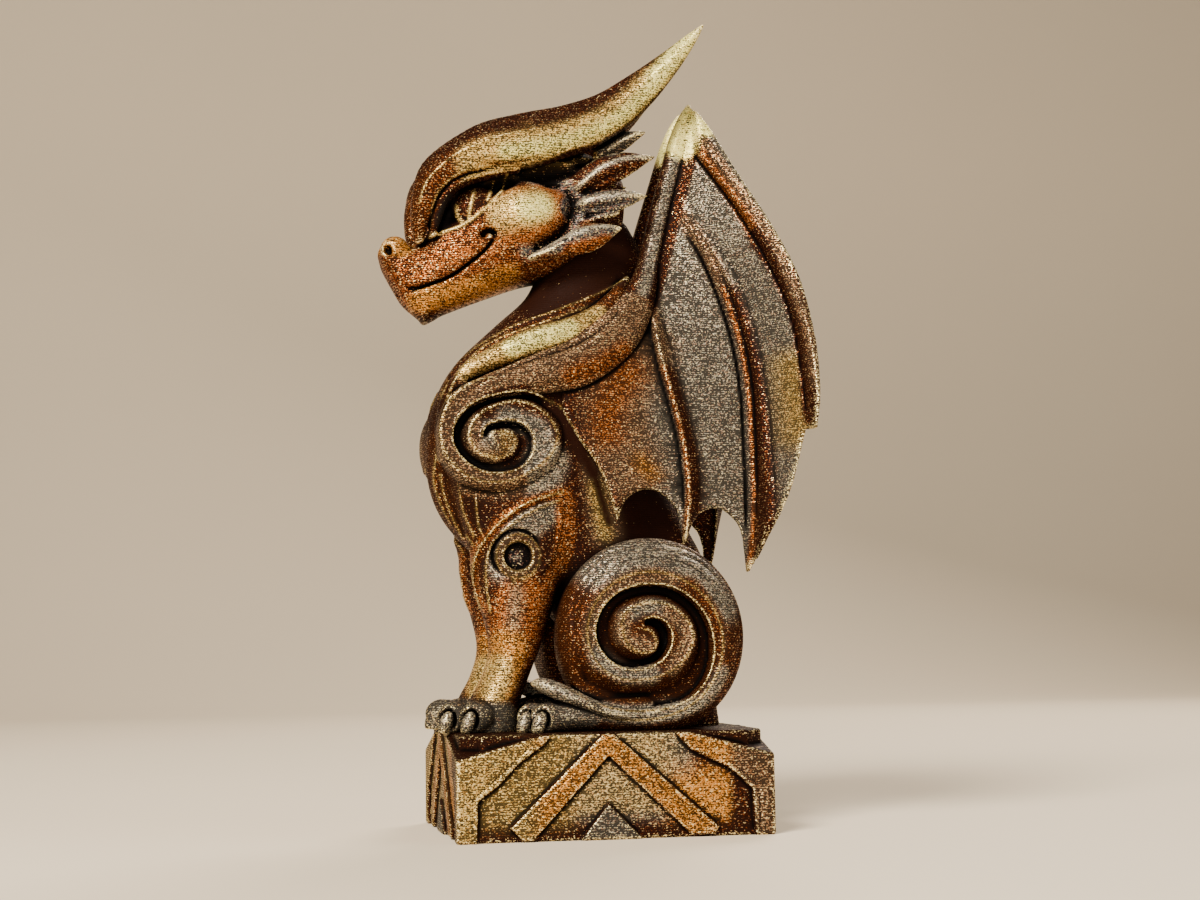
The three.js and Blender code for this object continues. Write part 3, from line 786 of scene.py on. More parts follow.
@dataclass(frozen=True)
class Trunk:
    """The body with its chest and back, the neck, and the tail that lies between the haunches."""

    torso: Rows = (
        (12.0, -1.0, 13.0, -8.0, 8.0),
        (17.0, -2.5, 15.0, -8.8, 8.8),
        (23.0, -2.8, 15.4, -8.8, 8.8),
        (29.0, -6.5, 14.6, -8.4, 8.4),
        (36.0, -15.6, 11.6, -8.2, 8.2),
        (41.0, -19.8, 9.4, -8.6, 8.6),
        (46.0, -21.4, 8.4, -9.2, 9.2),
        (51.0, -21.4, 8.0, -9.4, 9.4),
        (56.0, -20.3, 7.8, -9.0, 9.0),
        (61.0, -17.4, 7.8, -7.6, 7.6),
        (66.0, -12.2, 8.0, -6.4, 6.4),
        (70.0, -8.0, 8.2, -5.8, 5.8),
        (75.0, -6.0, 8.0, -5.4, 5.4),
        (80.0, -5.0, 5.5, -5.0, 5.0),
    )
    tail: Rows = (
        (4.6, 0, 46.0, 3.4, 3.6),
        (8.6, 0, 39.0, 4.0, 4.2),
        (12.4, 0, 31.0, 4.2, 4.4),
        (13.8, 0, 23.0, 3.8, 4.0),
        (13.6, 0, 17.0, 3.2, 3.6),
        (14.6, 0, 12.8, 2.6, 3.0),
    )
    neck_band: Rows = (
        (4.2, -6.2, 71.4, 0.5, 0.9),
        (2.4, -6.9, 68.6, 1.2, 1.5),
        (-0.2, -7.3, 66.0, 1.6, 1.8),
        (-4.1, -7.7, 64.0, 1.9, 2.0),
        (-7.6, -7.9, 62.9, 2.1, 2.0),
        (-11.4, -7.9, 61.5, 1.8, 1.9),
        (-14.2, -7.6, 60.3, 1.4, 1.7),
        (-17.2, -6.9, 58.6, 1.0, 1.6),
        (-19.8, -5.8, 55.2, 0.6, 1.4),
        (-20.6, -4.8, 51.0, 0.4, 1.2),
    )
    breast_lines: Sequence[Line] = (
        (
            (4.2, 71.6), (0.6, 69.6), (-5.4, 67.2), (-9.2, 65.9), (-12.1, 64.6), (-16.4, 61.9),
            (-18.8, 58.9), (-20.4, 55.4),
        ),
        (
            (-1.0, 67.8), (-4.7, 66.4), (-8.3, 65.2), (-12.3, 63.8), (-15.0, 62.2), (-18.2, 58.6),
            (-20.3, 53.8),
        ),
        ((-20.5, 49.6), (-20.9, 45.6), (-20.3, 43.0), (-19.0, 40.1), (-16.4, 35.4)),
        ((-20.2, 46.0), (-19.7, 43.4), (-18.4, 40.0), (-16.2, 36.2)),
        ((-18.4, 44.4), (-17.7, 41.0), (-16.4, 37.6)),
        ((-16.4, 43.0), (-16.0, 39.4), (-15.4, 37.6)),
    )
    wing_shadow: Line = ((-5.6, 53.4), (-3.6, 49.8), (-1.0, 45.8), (1.1, 39.4))

    def model(self, clay: Clay) -> None:
        """Models it in clay."""
        clay.add(Loft(2, self.torso))
        clay.add(Limb(self.tail), blend=1.5)
        clay.add(Limb(self.neck_band), blend=0.5)

    def engrave(self, clay: Clay) -> None:
        """Draws its fine lines."""
        clay.lines(self.breast_lines[:2], rise=0.22, width=0.2, y_from=-12, y_to=-1.5)
        clay.lines(self.breast_lines[2:], rise=0.3, width=0.24, y_from=-9.5, y_to=-2.5)

    def strokes(self) -> list[Stroke]:
        """Its wax."""
        neck = ((0.0, 78.0), (-1.0, 74.0), (-4.0, 69.5))
        gold = [(row[0], row[2] + 0.2) for row in self.neck_band[1:8]]
        return [
            Stroke(Wax.RUST, ((-18.0, 56.0), (-20.0, 47.0), (-17.5, 38.0)), 4.0, 0.14, 2.0),
            Stroke(Wax.EMBER, ((-20.5, 50.0), (-19.5, 42.0), (-16.5, 36.0)), 0.8, 0.24, 1.5),
            # Bare coat down the neck: painted shade under the head
            Stroke(Wax.RUST, neck, 4.4, -0.25, 2.0),
            # Bare coat on the back behind the wing: painted shade
            Stroke(Wax.RUST, ((6.5, 50.0), (6.0, 42.0), (7.0, 34.0)), 3.0, -0.25, 2.0),
            Stroke(Wax.BRONZE, ((-0.6, 46.0), (0.8, 38.0)), 1.0, 0.42, 2.6, out=5.0),
            Stroke(Wax.GOLD, ((-0.6, 44.0), (0.6, 38.0)), 0.3, 0.44, 1.6, out=5.0),
            Stroke(Wax.RUST, ((-14.0, 61.5), (-18.5, 58.0)), 1.6, 0.4, 2.0),
            Stroke(Wax.EMBER, ((0.0, 69.0), (-6.0, 66.2), (-13.0, 63.2)), 0.1, 0.34, 0.8),
            Stroke(Wax.EMBER, gold, 1.4, 0.36, 0.7, out=3.0),
            Stroke(Wax.GOLD, gold[1:], 1.0, 0.56, 0.9, out=4.0),
            Stroke(Wax.PALE, gold[2:5], 0.6, 0.68, 1.4, out=4.0),
            *(Stroke(Wax.GOLD, line, 0.0, 0.45, 0.22, out=2.0) for line in self.breast_lines),
            Stroke(Wax.RUST, self.wing_shadow, 0.05, -0.25, 0.7, out=5.0),
            Stroke(Wax.RUST, self.wing_shadow[:3], 0.35, -0.25, 0.8, out=5.0),
        ]


@dataclass(frozen=True)
class Head:
    """The head: skull and snout, brows that run back into horns, eyes, cheeks, fins and mouth."""

    skull: Rows = (
        (-27.5, -1.4, 1.4, 73.9, 75.2),
        (-27.1, -2.2, 2.2, 73.0, 75.7),
        (-26.3, -2.8, 2.8, 71.5, 75.8),
        (-25.6, -3.3, 3.3, 70.3, 75.8),
        (-24.4, -3.8, 3.8, 68.4, 76.1),
        (-22.4, -4.2, 4.2, 66.7, 76.8),
        (-21.7, -4.4, 4.4, 66.0, 77.4),
        (-20.4, -4.7, 4.7, 66.6, 79.2),
        (-19.0, -5.0, 5.0, 67.4, 82.0),
        (-14.0, -6.4, 6.4, 69.4, 86.6),
        (-9.0, -7.5, 7.5, 71.2, 88.0),
        (-4.0, -7.6, 7.6, 72.4, 89.4),
        (1.0, -6.8, 6.8, 74.8, 89.0),
        (4.6, -4.6, 4.6, 78.4, 86.6),
    )
    horn: Rows = (
        (-22.7, -3.3, 76.6, 0.5, 0.8),
        (-22.6, -4.0, 79.2, 1.15, 1.8),
        (-21.9, -4.6, 82.4, 1.65, 2.5),
        (-19.9, -5.1, 85.5, 2.35, 3.1),
        (-14.4, -5.5, 88.5, 3.05, 3.6),
        (-9.0, -5.8, 89.7, 3.6, 3.7),
        (-3.6, -6.1, 91.1, 3.35, 3.5),
        (1.6, -6.6, 93.2, 3.0, 3.0),
        (5.8, -7.4, 96.3, 2.4, 2.4),
        (9.6, -8.6, 99.8, 1.6, 1.7),
        (12.4, -9.6, 102.8, 0.85, 0.9),
        (14.2, -10.2, 104.9, 0.2, 0.2),
    )
    brow_lining: Rows = (
        (-21.0, -3.6, 77.4, 0.5, 1.0),
        (-20.4, -4.2, 79.8, 0.75, 1.9),
        (-19.7, -4.6, 81.8, 0.8, 2.3),
        (-17.9, -5.0, 83.6, 0.7, 2.5),
        (-14.6, -5.2, 84.8, 0.55, 2.3),
        (-10.0, -5.3, 85.6, 0.35, 2.0),
    )
    fins: Sequence[Rows] = (
        ((1.0, -5.2, 88.0, 1.1, 1.0), (4.0, -6.6, 89.9, 1.2, 1.0), (6.9, -7.4, 91.0, 0.15, 0.2)),
        (
            (-3.6, -6.0, 82.6, 1.2, 1.4), (0.0, -7.3, 84.8, 1.95, 1.5), (3.6, -8.3, 86.3, 1.75, 1.2),
            (7.6, -8.9, 87.3, 0.2, 0.25),
        ),
        (
            (-3.4, -6.4, 80.8, 1.1, 1.5), (1.2, -7.7, 81.4, 1.6, 1.3), (4.0, -8.4, 81.8, 1.2, 0.9),
            (6.5, -8.8, 82.1, 0.2, 0.25),
        ),
        (
            (-8.6, -6.9, 73.9, 0.4, 0.8), (-4.8, -7.8, 75.4, 1.5, 1.5), (-0.8, -8.4, 76.6, 1.9, 1.5),
            (3.2, -8.9, 77.7, 0.15, 0.2),
        ),
        ((-1.6, -6.8, 78.6, 0.5, 0.8), (1.0, -7.6, 79.4, 0.7, 0.8), (3.2, -8.0, 80.0, 0.1, 0.2)),
    )
    cheek: Ball = Ball((-8.9, -5.3, 79.8), (5.0, 3.6, 3.4), 8.0)
    nose: Ball = Ball((-25.7, -1.8, 75.5), (1.9, 1.7, 1.8), 20.0)
    nostril: Ball = Ball((-26.7, -3.2, 75.3), (0.6, 1.1, 0.85), 20.0)
    eye: Ball = Ball((-15.2, -3.7, 80.9), (3.2, 2.5, 2.9), 20.0)
    gap: Sequence[Ball] = (
        Ball((-19.0, -6.2, 79.7), (2.3, 2.6, 1.8), 50.0),
        Ball((-13.5, -7.0, 83.2), (4.4, 3.0, 1.5), 18.0),
        Ball((-6.6, -7.6, 85.4), (5.4, 2.8, 1.5), 6.0),
        Ball((-0.4, -7.2, 87.6), (3.2, 2.4, 1.0), 30.0),
    )
    valley: Line = ((-7.3, 83.7), (-3.9, 83.0), (-2.9, 80.8), (-4.0, 77.9), (-6.0, 76.3), (-8.6, 75.2))
    mouth: Line = (
        (-26.6, 69.7), (-25.2, 69.8), (-22.2, 70.4), (-18.8, 71.7), (-16.3, 73.4), (-14.2, 75.2),
        (-13.0, 77.0),
    )
    lips: Line = ((-27.6, 69.0), (-26.2, 69.6), (-24.6, 69.9), (-23.2, 70.2))
    smile: Line = ((-13.0, 77.0), (-13.7, 77.5), (-14.6, 77.2), (-14.3, 76.7))
    lids: Sequence[Line] = (
        (
            (-22.2, 76.5), (-20.0, 77.4), (-17.2, 78.3), (-15.2, 79.7), (-13.5, 81.2), (-11.9, 83.3),
            (-11.4, 84.8),
        ),
        ((-15.7, 82.7), (-16.2, 80.9), (-16.5, 78.9)),
        ((-13.0, 84.1), (-13.4, 82.9), (-14.0, 81.6)),
        ((-18.0, 81.0), (-17.8, 79.6), (-17.1, 78.5)),
    )
    fin_ridges: Sequence[Line] = (
        ((-2.2, 83.4), (0.4, 85.6), (3.6, 86.9), (6.9, 87.2)),
        ((-2.0, 81.4), (1.6, 82.2), (6.0, 82.1)),
        ((-7.4, 75.0), (-3.4, 76.9), (0.6, 77.9), (2.9, 77.9)),
        ((2.4, 89.0), (6.2, 91.0)),
    )
    fin_hollows: Sequence[Line] = (
        ((-1.8, 82.6), (1.0, 84.3), (4.4, 85.6)),
        ((-1.4, 80.5), (1.8, 80.9), (4.2, 81.3)),
        ((-5.6, 74.8), (-2.6, 76.0), (0.8, 76.8)),
    )
    horn_lines: Sequence[Line] = (
        (
            (-21.4, 78.3), (-21.0, 81.1), (-19.8, 83.1), (-17.5, 84.7), (-13.8, 85.5), (-9.8, 85.9),
            (-6.1, 86.9), (-3.2, 88.1), (0.4, 89.3), (4.0, 91.6),
        ),
        ((-22.9, 80.9), (-22.3, 83.1), (-20.8, 84.9), (-18.2, 87.0), (-14.3, 88.7), (-9.7, 90.2)),
    )

    def model(self, clay: Clay) -> None:
        """Models it in clay."""
        clay.add(Loft(0, self.skull, power=2.3), blend=0.8)
        clay.add(self.nose, blend=0.5)
        for ball in self.gap:
            clay.cut(ball, blend=0.4)
        clay.add(self.eye, blend=0.1)
        clay.add(self.cheek, blend=1.8)
        clay.add(Limb(self.brow_lining, power=2.6, count=40), blend=0.1)
        clay.add(Limb(self.horn, power=3.0, facets=(0.80, None), count=72), blend=0.1)
        for rows in self.fins:
            clay.add(Limb(rows, power=1.3), blend=0.25)
        clay.cut(self.nostril, blend=0.15)

    def engrave(self, clay: Clay) -> None:
        """Draws its fine lines."""
        clay.lines([self.valley], rise=-1.0, width=0.85, y_from=-9, y_to=-4)
        clay.lines(self.fin_ridges, rise=0.2, width=0.28, y_from=-12, y_to=-5)
        clay.lines(self.fin_hollows, rise=-0.25, width=0.32, y_from=-12, y_to=-5)
        clay.lines([self.mouth], rise=-1.0, width=0.2, y_from=-10, y_to=-1)
        clay.lines([self.lips], rise=-1.2, width=0.26, y_from=-10, y_to=0)
        clay.lines([self.smile], rise=-1.3, width=0.3, y_from=-10, y_to=-3)
        clay.lines(self.lids[:1], rise=0.32, width=0.2, y_from=-9, y_to=-2)
        clay.lines(self.lids[1:], rise=0.22, width=0.15, y_from=-8, y_to=-3)
        clay.lines(self.horn_lines, rise=0.2, width=0.18, y_from=-10, y_to=-3)

    def strokes(self) -> list[Stroke]:
        """Its wax."""
        horn = seen(self.horn)
        brow = ((-22.8, 78.6), (-22.4, 81.4), (-20.0, 84.8), (-14.0, 87.2))
        gilt = ((-16.0, 86.0), (-12.0, 87.3), (-4.0, 88.9), (3.0, 92.2), (8.0, 97.0))
        return [
            Stroke(Wax.RUST, horn[2:10], 4.2, 0.34, 0.6, out=1.5),
            Stroke(Wax.RUST, ((-12.0, 70.0), (-4.0, 73.0), (0.0, 75.0)), 1.0, 0.3, 2.0),
            Stroke(Wax.EMBER, ((-26.5, 73.0), (-20.0, 72.2), (-13.0, 75.0), (-4.0, 75.8)), 4.0, 0.5, 1.2),
            Stroke(Wax.COPPER, ((-22.0, 72.6), (-17.0, 74.6), (-10.0, 76.2)), 0.0, 0.51, 2.0),
            # Amber wax along the jaw, laid thick as painted bounce light from the floor
            Stroke(Wax.AMBER, ((-22.5, 68.6), (-16.0, 70.0), (-11.0, 71.8)), 0.8, 0.62, 1.4),
            Stroke(Wax.RUST, ((-16.0, 66.6), (-8.0, 69.2), (0.0, 72.8)), 0.8, 0.0, 1.4),
            Stroke(Wax.AMBER, ((-26.2, 76.2), (-25.0, 76.0)), 1.2, 0.62, 0.9),
            # Grey wax down the valley behind the cheek, lightened as a painted sheen
            Stroke(Wax.SMOKE, self.valley, 0.9, 0.85, 1.2),
            Stroke(Wax.SMOKE, ((-12.0, 84.6), (-6.0, 85.3), (0.0, 86.5)), 0.9, 0.3, 0.8, within=6.2),
            Stroke(Wax.SMOKE, ((-19.8, 78.8), (-18.6, 81.0)), 0.9, -0.25, 0.5),
            Stroke(Wax.RUST, ((-16.4, 80.8), (-14.6, 82.0)), 1.4, 0.36, 0.7, out=4.0),
            Stroke(Wax.COPPER, ((-10.6, 79.4), (-6.9, 79.8)), 3.2, 0.62, 1.2, out=6.0),
            Stroke(Wax.GOLD, ((-12.0, 79.6), (-8.6, 80.4)), 1.2, 0.62, 2.4, out=6.5),
            Stroke(Wax.PALE, ((-8.8, 80.0), (-7.4, 80.4)), 0.4, 0.78, 2.4, out=6.5),
            *(Stroke(Wax.GOLD, lid, 0.12, 0.7, 0.25, out=3.5) for lid in self.lids),
            Stroke(Wax.EMBER, brow, 1.2, 0.4, 1.4),
            Stroke(Wax.GOLD, gilt, 1.7, 0.6, 1.7, Facing.SIDE),
            Stroke(Wax.PALE, gilt[1:], 0.2, 0.62, 1.6, Facing.SIDE),
            Stroke(Wax.PALE, ((8.0, 97.8), (14.2, 105.0)), 0.7, 0.74, 1.4),
            *(Stroke(Wax.GOLD, line, 0.0, 0.52, 0.24, out=3.0) for line in self.horn_lines),
            Stroke(Wax.RUST, ((-1.0, 84.0), (5.0, 85.8)), 1.4, 0.42, 0.6, out=5.5),
            Stroke(Wax.SMOKE, ((-3.0, 80.6), (6.2, 81.6)), 1.5, 0.66, 0.6, out=6.0),
            Stroke(Wax.SILVER, ((2.0, 88.6), (6.6, 91.0)), 1.0, 0.34, 0.6, out=4.0, within=9.0),
            Stroke(Wax.SMOKE, ((-5.8, 75.2), (-1.5, 76.6), (2.0, 77.2)), 0.8, 0.7, 0.6, out=6.0),
            *(Stroke(Wax.SILVER, ridge, 0.15, 0.62, 0.45, out=6.0) for ridge in self.fin_ridges),
            Stroke(Wax.COPPER, ((-3.6, 74.6), (1.2, 75.8)), 0.5, 0.6, 0.8, out=6.0),
        ]


@dataclass(frozen=True)
class Wing:
    """A raised wing: a curved skin with three ribs, and the arm that runs down into the shoulder.

    `lines` holds, by height, X and half-spread of the arm, the first rib, the fold at the second rib,
    and the outer edge.
    """

    lines: Rows = (
        (30, -5.0, 9.6, 10.6, 10.2, 18.6, 10.8, 18.9, 11.2),
        (40, -5.0, 9.5, 10.9, 10.0, 19.7, 10.5, 21.6, 15.6),
        (50, -5.0, 9.2, 10.6, 9.3, 20.0, 10.0, 25.3, 19.4),
        (60, 2.6, 8.3, 9.3, 8.0, 19.5, 9.2, 26.1, 18.5),
        (70, 6.4, 5.8, 9.2, 5.9, 17.3, 7.7, 24.8, 16.2),
        (80, 9.0, 4.1, 10.6, 4.4, 13.4, 5.6, 21.2, 12.1),
        (90, 12.2, 3.1, 12.8, 3.3, 13.6, 3.8, 17.5, 6.1),
        (98, 14.0, 2.6, 14.3, 2.7, 14.6, 2.8, 15.0, 3.0),
    )
    arm: Rows = (
        (14.0, -2.6, 96.0, 0.3, 0.35),
        (13.3, -2.7, 93.6, 1.0, 0.9),
        (12.3, -3.0, 90.5, 1.3, 1.2),
        (11.0, -3.5, 86.0, 1.35, 1.3),
        (9.2, -4.1, 80.0, 1.35, 1.4),
        (7.4, -5.1, 73.4, 1.4, 1.6),
        (6.1, -6.2, 69.8, 1.9, 1.8),
        (4.1, -7.1, 66.2, 2.7, 2.0),
        (1.2, -8.0, 62.9, 3.25, 2.2),
        (-2.6, -8.8, 60.1, 3.1, 2.2),
        (-6.8, -9.3, 58.7, 2.7, 2.1),
        (-11.2, -9.6, 57.5, 2.0, 1.9),
        (-15.2, -9.7, 56.3, 1.5, 1.8),
        (-18.4, -9.3, 54.4, 1.1, 1.7),
    )
    edges: Sequence[Line] = (
        ((-5.2, 56), (0, 58.4), (4.2, 62.6), (6.6, 71), (9, 80), (11, 86), (12.9, 92), (14, 96.0)),
        (
            (14, 96.0), (16.5, 92), (19.7, 83.5), (22.5, 76.7), (24.8, 70), (26, 62), (26.05, 56),
            (25.3, 50.4),
        ),
        ((24.6, 50.6), (22.9, 43.6), (20.7, 37.6), (18.7, 32.8)),
        ((18.5, 32.6), (18, 37.7), (16.9, 39.8), (14.9, 41.1), (12.6, 40.4), (11.2, 38.4), (10.5, 36.4)),
        ((10.3, 36.4), (9.9, 39.6), (9.3, 41.3), (7.4, 43.1), (5.2, 43.5), (3.0, 42.2), (1.8, 39.4)),
        ((1.8, 39.4), (-0.3, 45.9), (-2.8, 49.7), (-5, 53.4)),
    )
    rib_crests: Sequence[Line] = (
        ((7.4, 70.4), (7.6, 65.0), (8.4, 59.6), (9.7, 54.0), (10.7, 48.6), (11.0, 43.0), (10.5, 37.2)),
        (
            (11.9, 80.6), (14.6, 75.6), (16.7, 70.2), (18.4, 63.6), (19.3, 56.4), (19.5, 48.0),
            (19.4, 40.0), (18.7, 33.2),
        ),
    )
    rib_left: Sequence[float] = (0.7, 0.9)
    rib_right: Sequence[float] = (1.7, 1.8)
    arm_lines: Sequence[Line] = (
        ((-14.0, 57.8), (-9.6, 59.8), (-5.0, 61.4), (-1.4, 63.2), (1.2, 65.2), (3.2, 67.6)),
    )
    rim: Line = (
        (14.2, 88.6), (16.2, 84.6), (18.9, 78.9), (21.6, 72.6), (23.5, 66.6), (24.4, 60.0),
        (24.7, 53.0),
    )
    half_skin: float = 0.62
    edge_thinning: float = 0.35
    edge_width: float = 0.9
    edge_rounding: float = 0.35
    rib_rise: float = 1.0
    rib_root: float = 0.45
    rib_tip: float = 0.55
    rib_foot: float = 0.6
    rib_slope: float = 0.8
    rib_groove: float = 0.28
    rib_groove_width: float = 0.14
    rim_rise: float = 0.55
    rim_fall: float = 0.3
    rim_groove: float = 0.35
    rim_groove_width: float = 0.15
    rim_foot: float = 50.0

    STATIONS = 60
    NARROWEST = 0.3
    OVERRUN = 1.3
    LINE_POINTS = 40
    EDGE_POINTS_PER_STATION = 5
    RIB_WIDENS = (0.0, 0.3)
    RIB_NARROWS = (0.75, 1.0)
    RIB_RISES = (-0.05, 0.25)
    RIB_SINKS = (0.8, 1.0)
    GROOVE_STARTS = (0.02, 0.1)
    RIM_STEP = (0.0, 0.3)
    RIM_EDGE = (0.9, 1.6)

    def box(self) -> Pair:
        """Its lowest and highest corner."""
        return np.array((-6.0, -21.3, 32.0)), np.array((26.4, -1.5, 96.4))

    def spread(self, x: np.ndarray, z: np.ndarray) -> np.ndarray:
        """The half-spread of the skin's middle surface at X and Z."""
        table = smooth(self.lines, self.STATIONS)
        rows = [np.interp(z, table[:, 0], table[:, k]) for k in range(1, 9)]
        knots, depths = np.stack(rows[0::2]), np.stack(rows[1::2])
        x, _ = np.broadcast_arrays(x, z)
        value = np.broadcast_to(depths[0], x.shape).copy()
        for k in range(3):
            width = np.maximum(knots[k + 1] - knots[k], self.NARROWEST)
            t = (x - knots[k]) / width
            stretch = depths[k] + np.clip(t, 0, self.OVERRUN) * (depths[k + 1] - depths[k])
            value = np.where(t > 0, stretch, value)
        return value

    def relief(self, x: np.ndarray, z: np.ndarray) -> np.ndarray:
        """How far the ribs and the rim stand above the skin."""
        rise = np.zeros(np.broadcast(x, z).shape)
        for crest, left, right in zip(self.rib_crests, self.rib_left, self.rib_right):
            points = smooth(crest, self.LINE_POINTS)
            distance, along = line_distance(x, z, points)
            # A rib is steep in front and slopes away behind, and both its ends run out
            side = x - np.interp(z, points[::-1, 1], points[::-1, 0])
            taper = self.rib_root + (1 - self.rib_root) * ramp(along, *self.RIB_WIDENS)
            taper = taper * (1 - (1 - self.rib_tip) * ramp(along, *self.RIB_NARROWS))
            t = np.clip(1 - distance / (np.where(side < 0, left, right) * taper), 0, 1)
            profile = np.where(side < 0, np.sqrt(t), t**self.rib_slope)
            height = self.rib_rise * ramp(along, *self.RIB_RISES)
            height = height * (1 - (1 - self.rib_foot) * ramp(along, *self.RIB_SINKS))
            rise = np.maximum(rise, height * profile)
            groove = bump(distance - left, self.rib_groove_width) * ramp(along, *self.GROOVE_STARTS)
            rise = rise - self.rib_groove * groove * (side < 0)
        # The rim is a step outside a fine groove, and its outermost edge is lower again
        edge = smooth(self.rim, self.LINE_POINTS)
        distance, _ = line_distance(x, z, edge)
        beyond = x - np.interp(z, edge[::-1, 1], edge[::-1, 0])
        step = self.rim_rise * ramp(beyond, *self.RIM_STEP) - self.rim_fall * ramp(beyond, *self.RIM_EDGE)
        rise = rise + step * (z > self.rim_foot) - self.rim_groove * bump(distance, self.rim_groove_width)
        return rise

    def distance(self, x: np.ndarray, y: np.ndarray, z: np.ndarray) -> np.ndarray:
        """Signed distance to the skin with its ribs."""
        flat_x, flat_z = x[:, 0], z[0]
        spread = self.spread(flat_x, flat_z)
        step = float(x[1, 0, 0] - x[0, 0, 0])
        gradient = np.gradient(spread, step)
        # The skin leans, so its thickness is measured square to it rather than along Y
        lean = 1 / np.sqrt(1 + gradient[0] ** 2 + gradient[1] ** 2)
        points = [smooth(edge, self.EDGE_POINTS_PER_STATION * len(edge)) for edge in self.edges]
        border = outline_distance(flat_x, flat_z, np.concatenate(points))
        inner = self.half_skin * (1 - self.edge_thinning * ramp(border, -self.edge_width, 0))
        outer = inner + self.relief(flat_x, flat_z)
        out = (-y - spread[:, None, :]) * lean[:, None, :]
        skin = np.maximum(out - outer[:, None, :], -out - inner[:, None, :])
        return common(skin, border[:, None, :], self.edge_rounding).astype(np.float32)

    def model(self, clay: Clay) -> None:
        """Models it in clay."""
        clay.add(self, blend=0.0)
        clay.add(Limb(self.arm, power=3.2, facets=(0.98, 0.98), count=72), blend=0.12)

    def engrave(self, clay: Clay) -> None:
        """Draws its fine lines."""
        clay.lines(self.arm_lines, rise=-0.3, width=0.16, y_from=-12, y_to=-1)

    def strokes(self) -> list[Stroke]:
        """Its wax."""
        arm = seen(self.arm)
        edge = ((15.0, 91.6), (18.6, 83.4), (22.4, 74.6), (25.0, 64.0), (25.6, 56.0))
        behind = [[(x + 0.8, z - 1.0) for x, z in rib[2:]] for rib in self.rib_crests]
        ridges = [[(x - 0.1, z) for x, z in rib[2:]] for rib in self.rib_crests]
        skin = ((14.0, 84.0), (16.0, 66.0), (17.0, 52.0), (15.0, 42.0))
        return [
            Stroke(Wax.SILVER, skin, 10.0, 0.385, 3.0),
            Stroke(Wax.SILVER, ((14.6, 84.0), (15.6, 74.0)), 1.0, 0.43, 5.0),
            Stroke(Wax.GOLD, ((23.6, 59.0), (23.8, 50.0)), 0.0, 0.44, 3.6),
            Stroke(Wax.BRONZE, ((6.0, 62.0), (2.0, 54.0), (4.0, 46.0)), 2.0, 0.42, 4.0),
            Stroke(Wax.COPPER, ((3.6, 59.0), (1.0, 54.6), (0.6, 51.0)), 0.8, 0.44, 3.0),
            Stroke(Wax.AMBER, ((5.0, 47.0), (6.4, 45.6)), 0.3, 0.42, 1.6),
            *(Stroke(Wax.BRONZE, rib[:3], 0.2, 0.36, 1.4) for rib in self.rib_crests),
            # Low rust wax just behind each rib: painted shade on the ribs' sides away from the light
            *(Stroke(Wax.RUST, line, 0.4, 0.28, 1.4) for line in behind),
            *(Stroke(Wax.COPPER, ridge, 0.1, 0.46, 0.4) for ridge in ridges),
            Stroke(Wax.COPPER, ((14.8, 90.0), (17.6, 83.6), (20.6, 76.4)), 0.8, 0.44, 0.5),
            Stroke(Wax.RUST, ((20.6, 76.4), (23.4, 70.0), (25.2, 62.0), (25.4, 52.0)), 1.0, 0.32, 0.5),
            Stroke(Wax.BRONZE, edge[:3], 0.3, 0.46, 0.7),
            Stroke(Wax.BRONZE, edge[2:], 0.3, 0.42, 0.6),
            Stroke(Wax.RUST, ((10.0, 90.0), (16.0, 60.0), (18.0, 44.0)), 14.0, 0.24, 1.0, Facing.IN),
            Stroke(Wax.RUST, arm[1:8], 2.4, 0.3, 0.5),
            Stroke(Wax.SILVER, arm[1:10], 0.3, 0.48, 1.0, Facing.SIDE),
            Stroke(Wax.BRONZE, arm[7:13], 2.8, 0.44, 0.7),
            Stroke(Wax.COPPER, ((3.0, 61.4), (0.0, 59.6), (-4.0, 58.2)), 0.4, 0.46, 2.0, Facing.SIDE),
            Stroke(Wax.GOLD, self.edges[-1], 0.0, 0.52, 0.4, Facing.SIDE),
            Stroke(Wax.PALE, ((14.0, 95.9), (13.2, 93.0), (12.4, 90.4)), 1.3, 1.0, 1.6),
            Stroke(Wax.PALE, ((14.0, 95.9), (15.8, 92.2)), 0.6, 0.86, 0.9),
        ]


@dataclass(frozen=True)
class Paw:
    """Three toes, each with a claw that comes out of a notch low on its outer front."""

    toes: Sequence[Sequence[float]]
    toe: Sequence[float]
    notch: Sequence[float] = (1.35, 1.1, 1.95)
    claw: Sequence[float] = (0.86, 0.9, 1.6)
    lean: float = -22.0
    ahead: float = 1.2
    outward: float = 1.0
    below: float = 0.75
    half_line: float = 0.8

    def claws(self) -> list[Line]:
        """A short line down each claw, seen from the side."""
        middles = [(x - self.ahead, z - self.below) for x, _, z in self.toes]
        return [((x, z + self.half_line), (x, z - self.half_line)) for x, z in middles]

    def model(self, clay: Clay) -> None:
        """Models it in clay."""
        for centre in self.toes:
            clay.add(Ball(centre, self.toe), blend=0.3)
        for x, y, z in self.toes:
            place = (x - self.ahead, y - self.outward, z - self.below)
            clay.cut(Ball(place, self.notch, self.lean), blend=0.08)
            clay.add(Ball(place, self.claw, self.lean), blend=0.05)


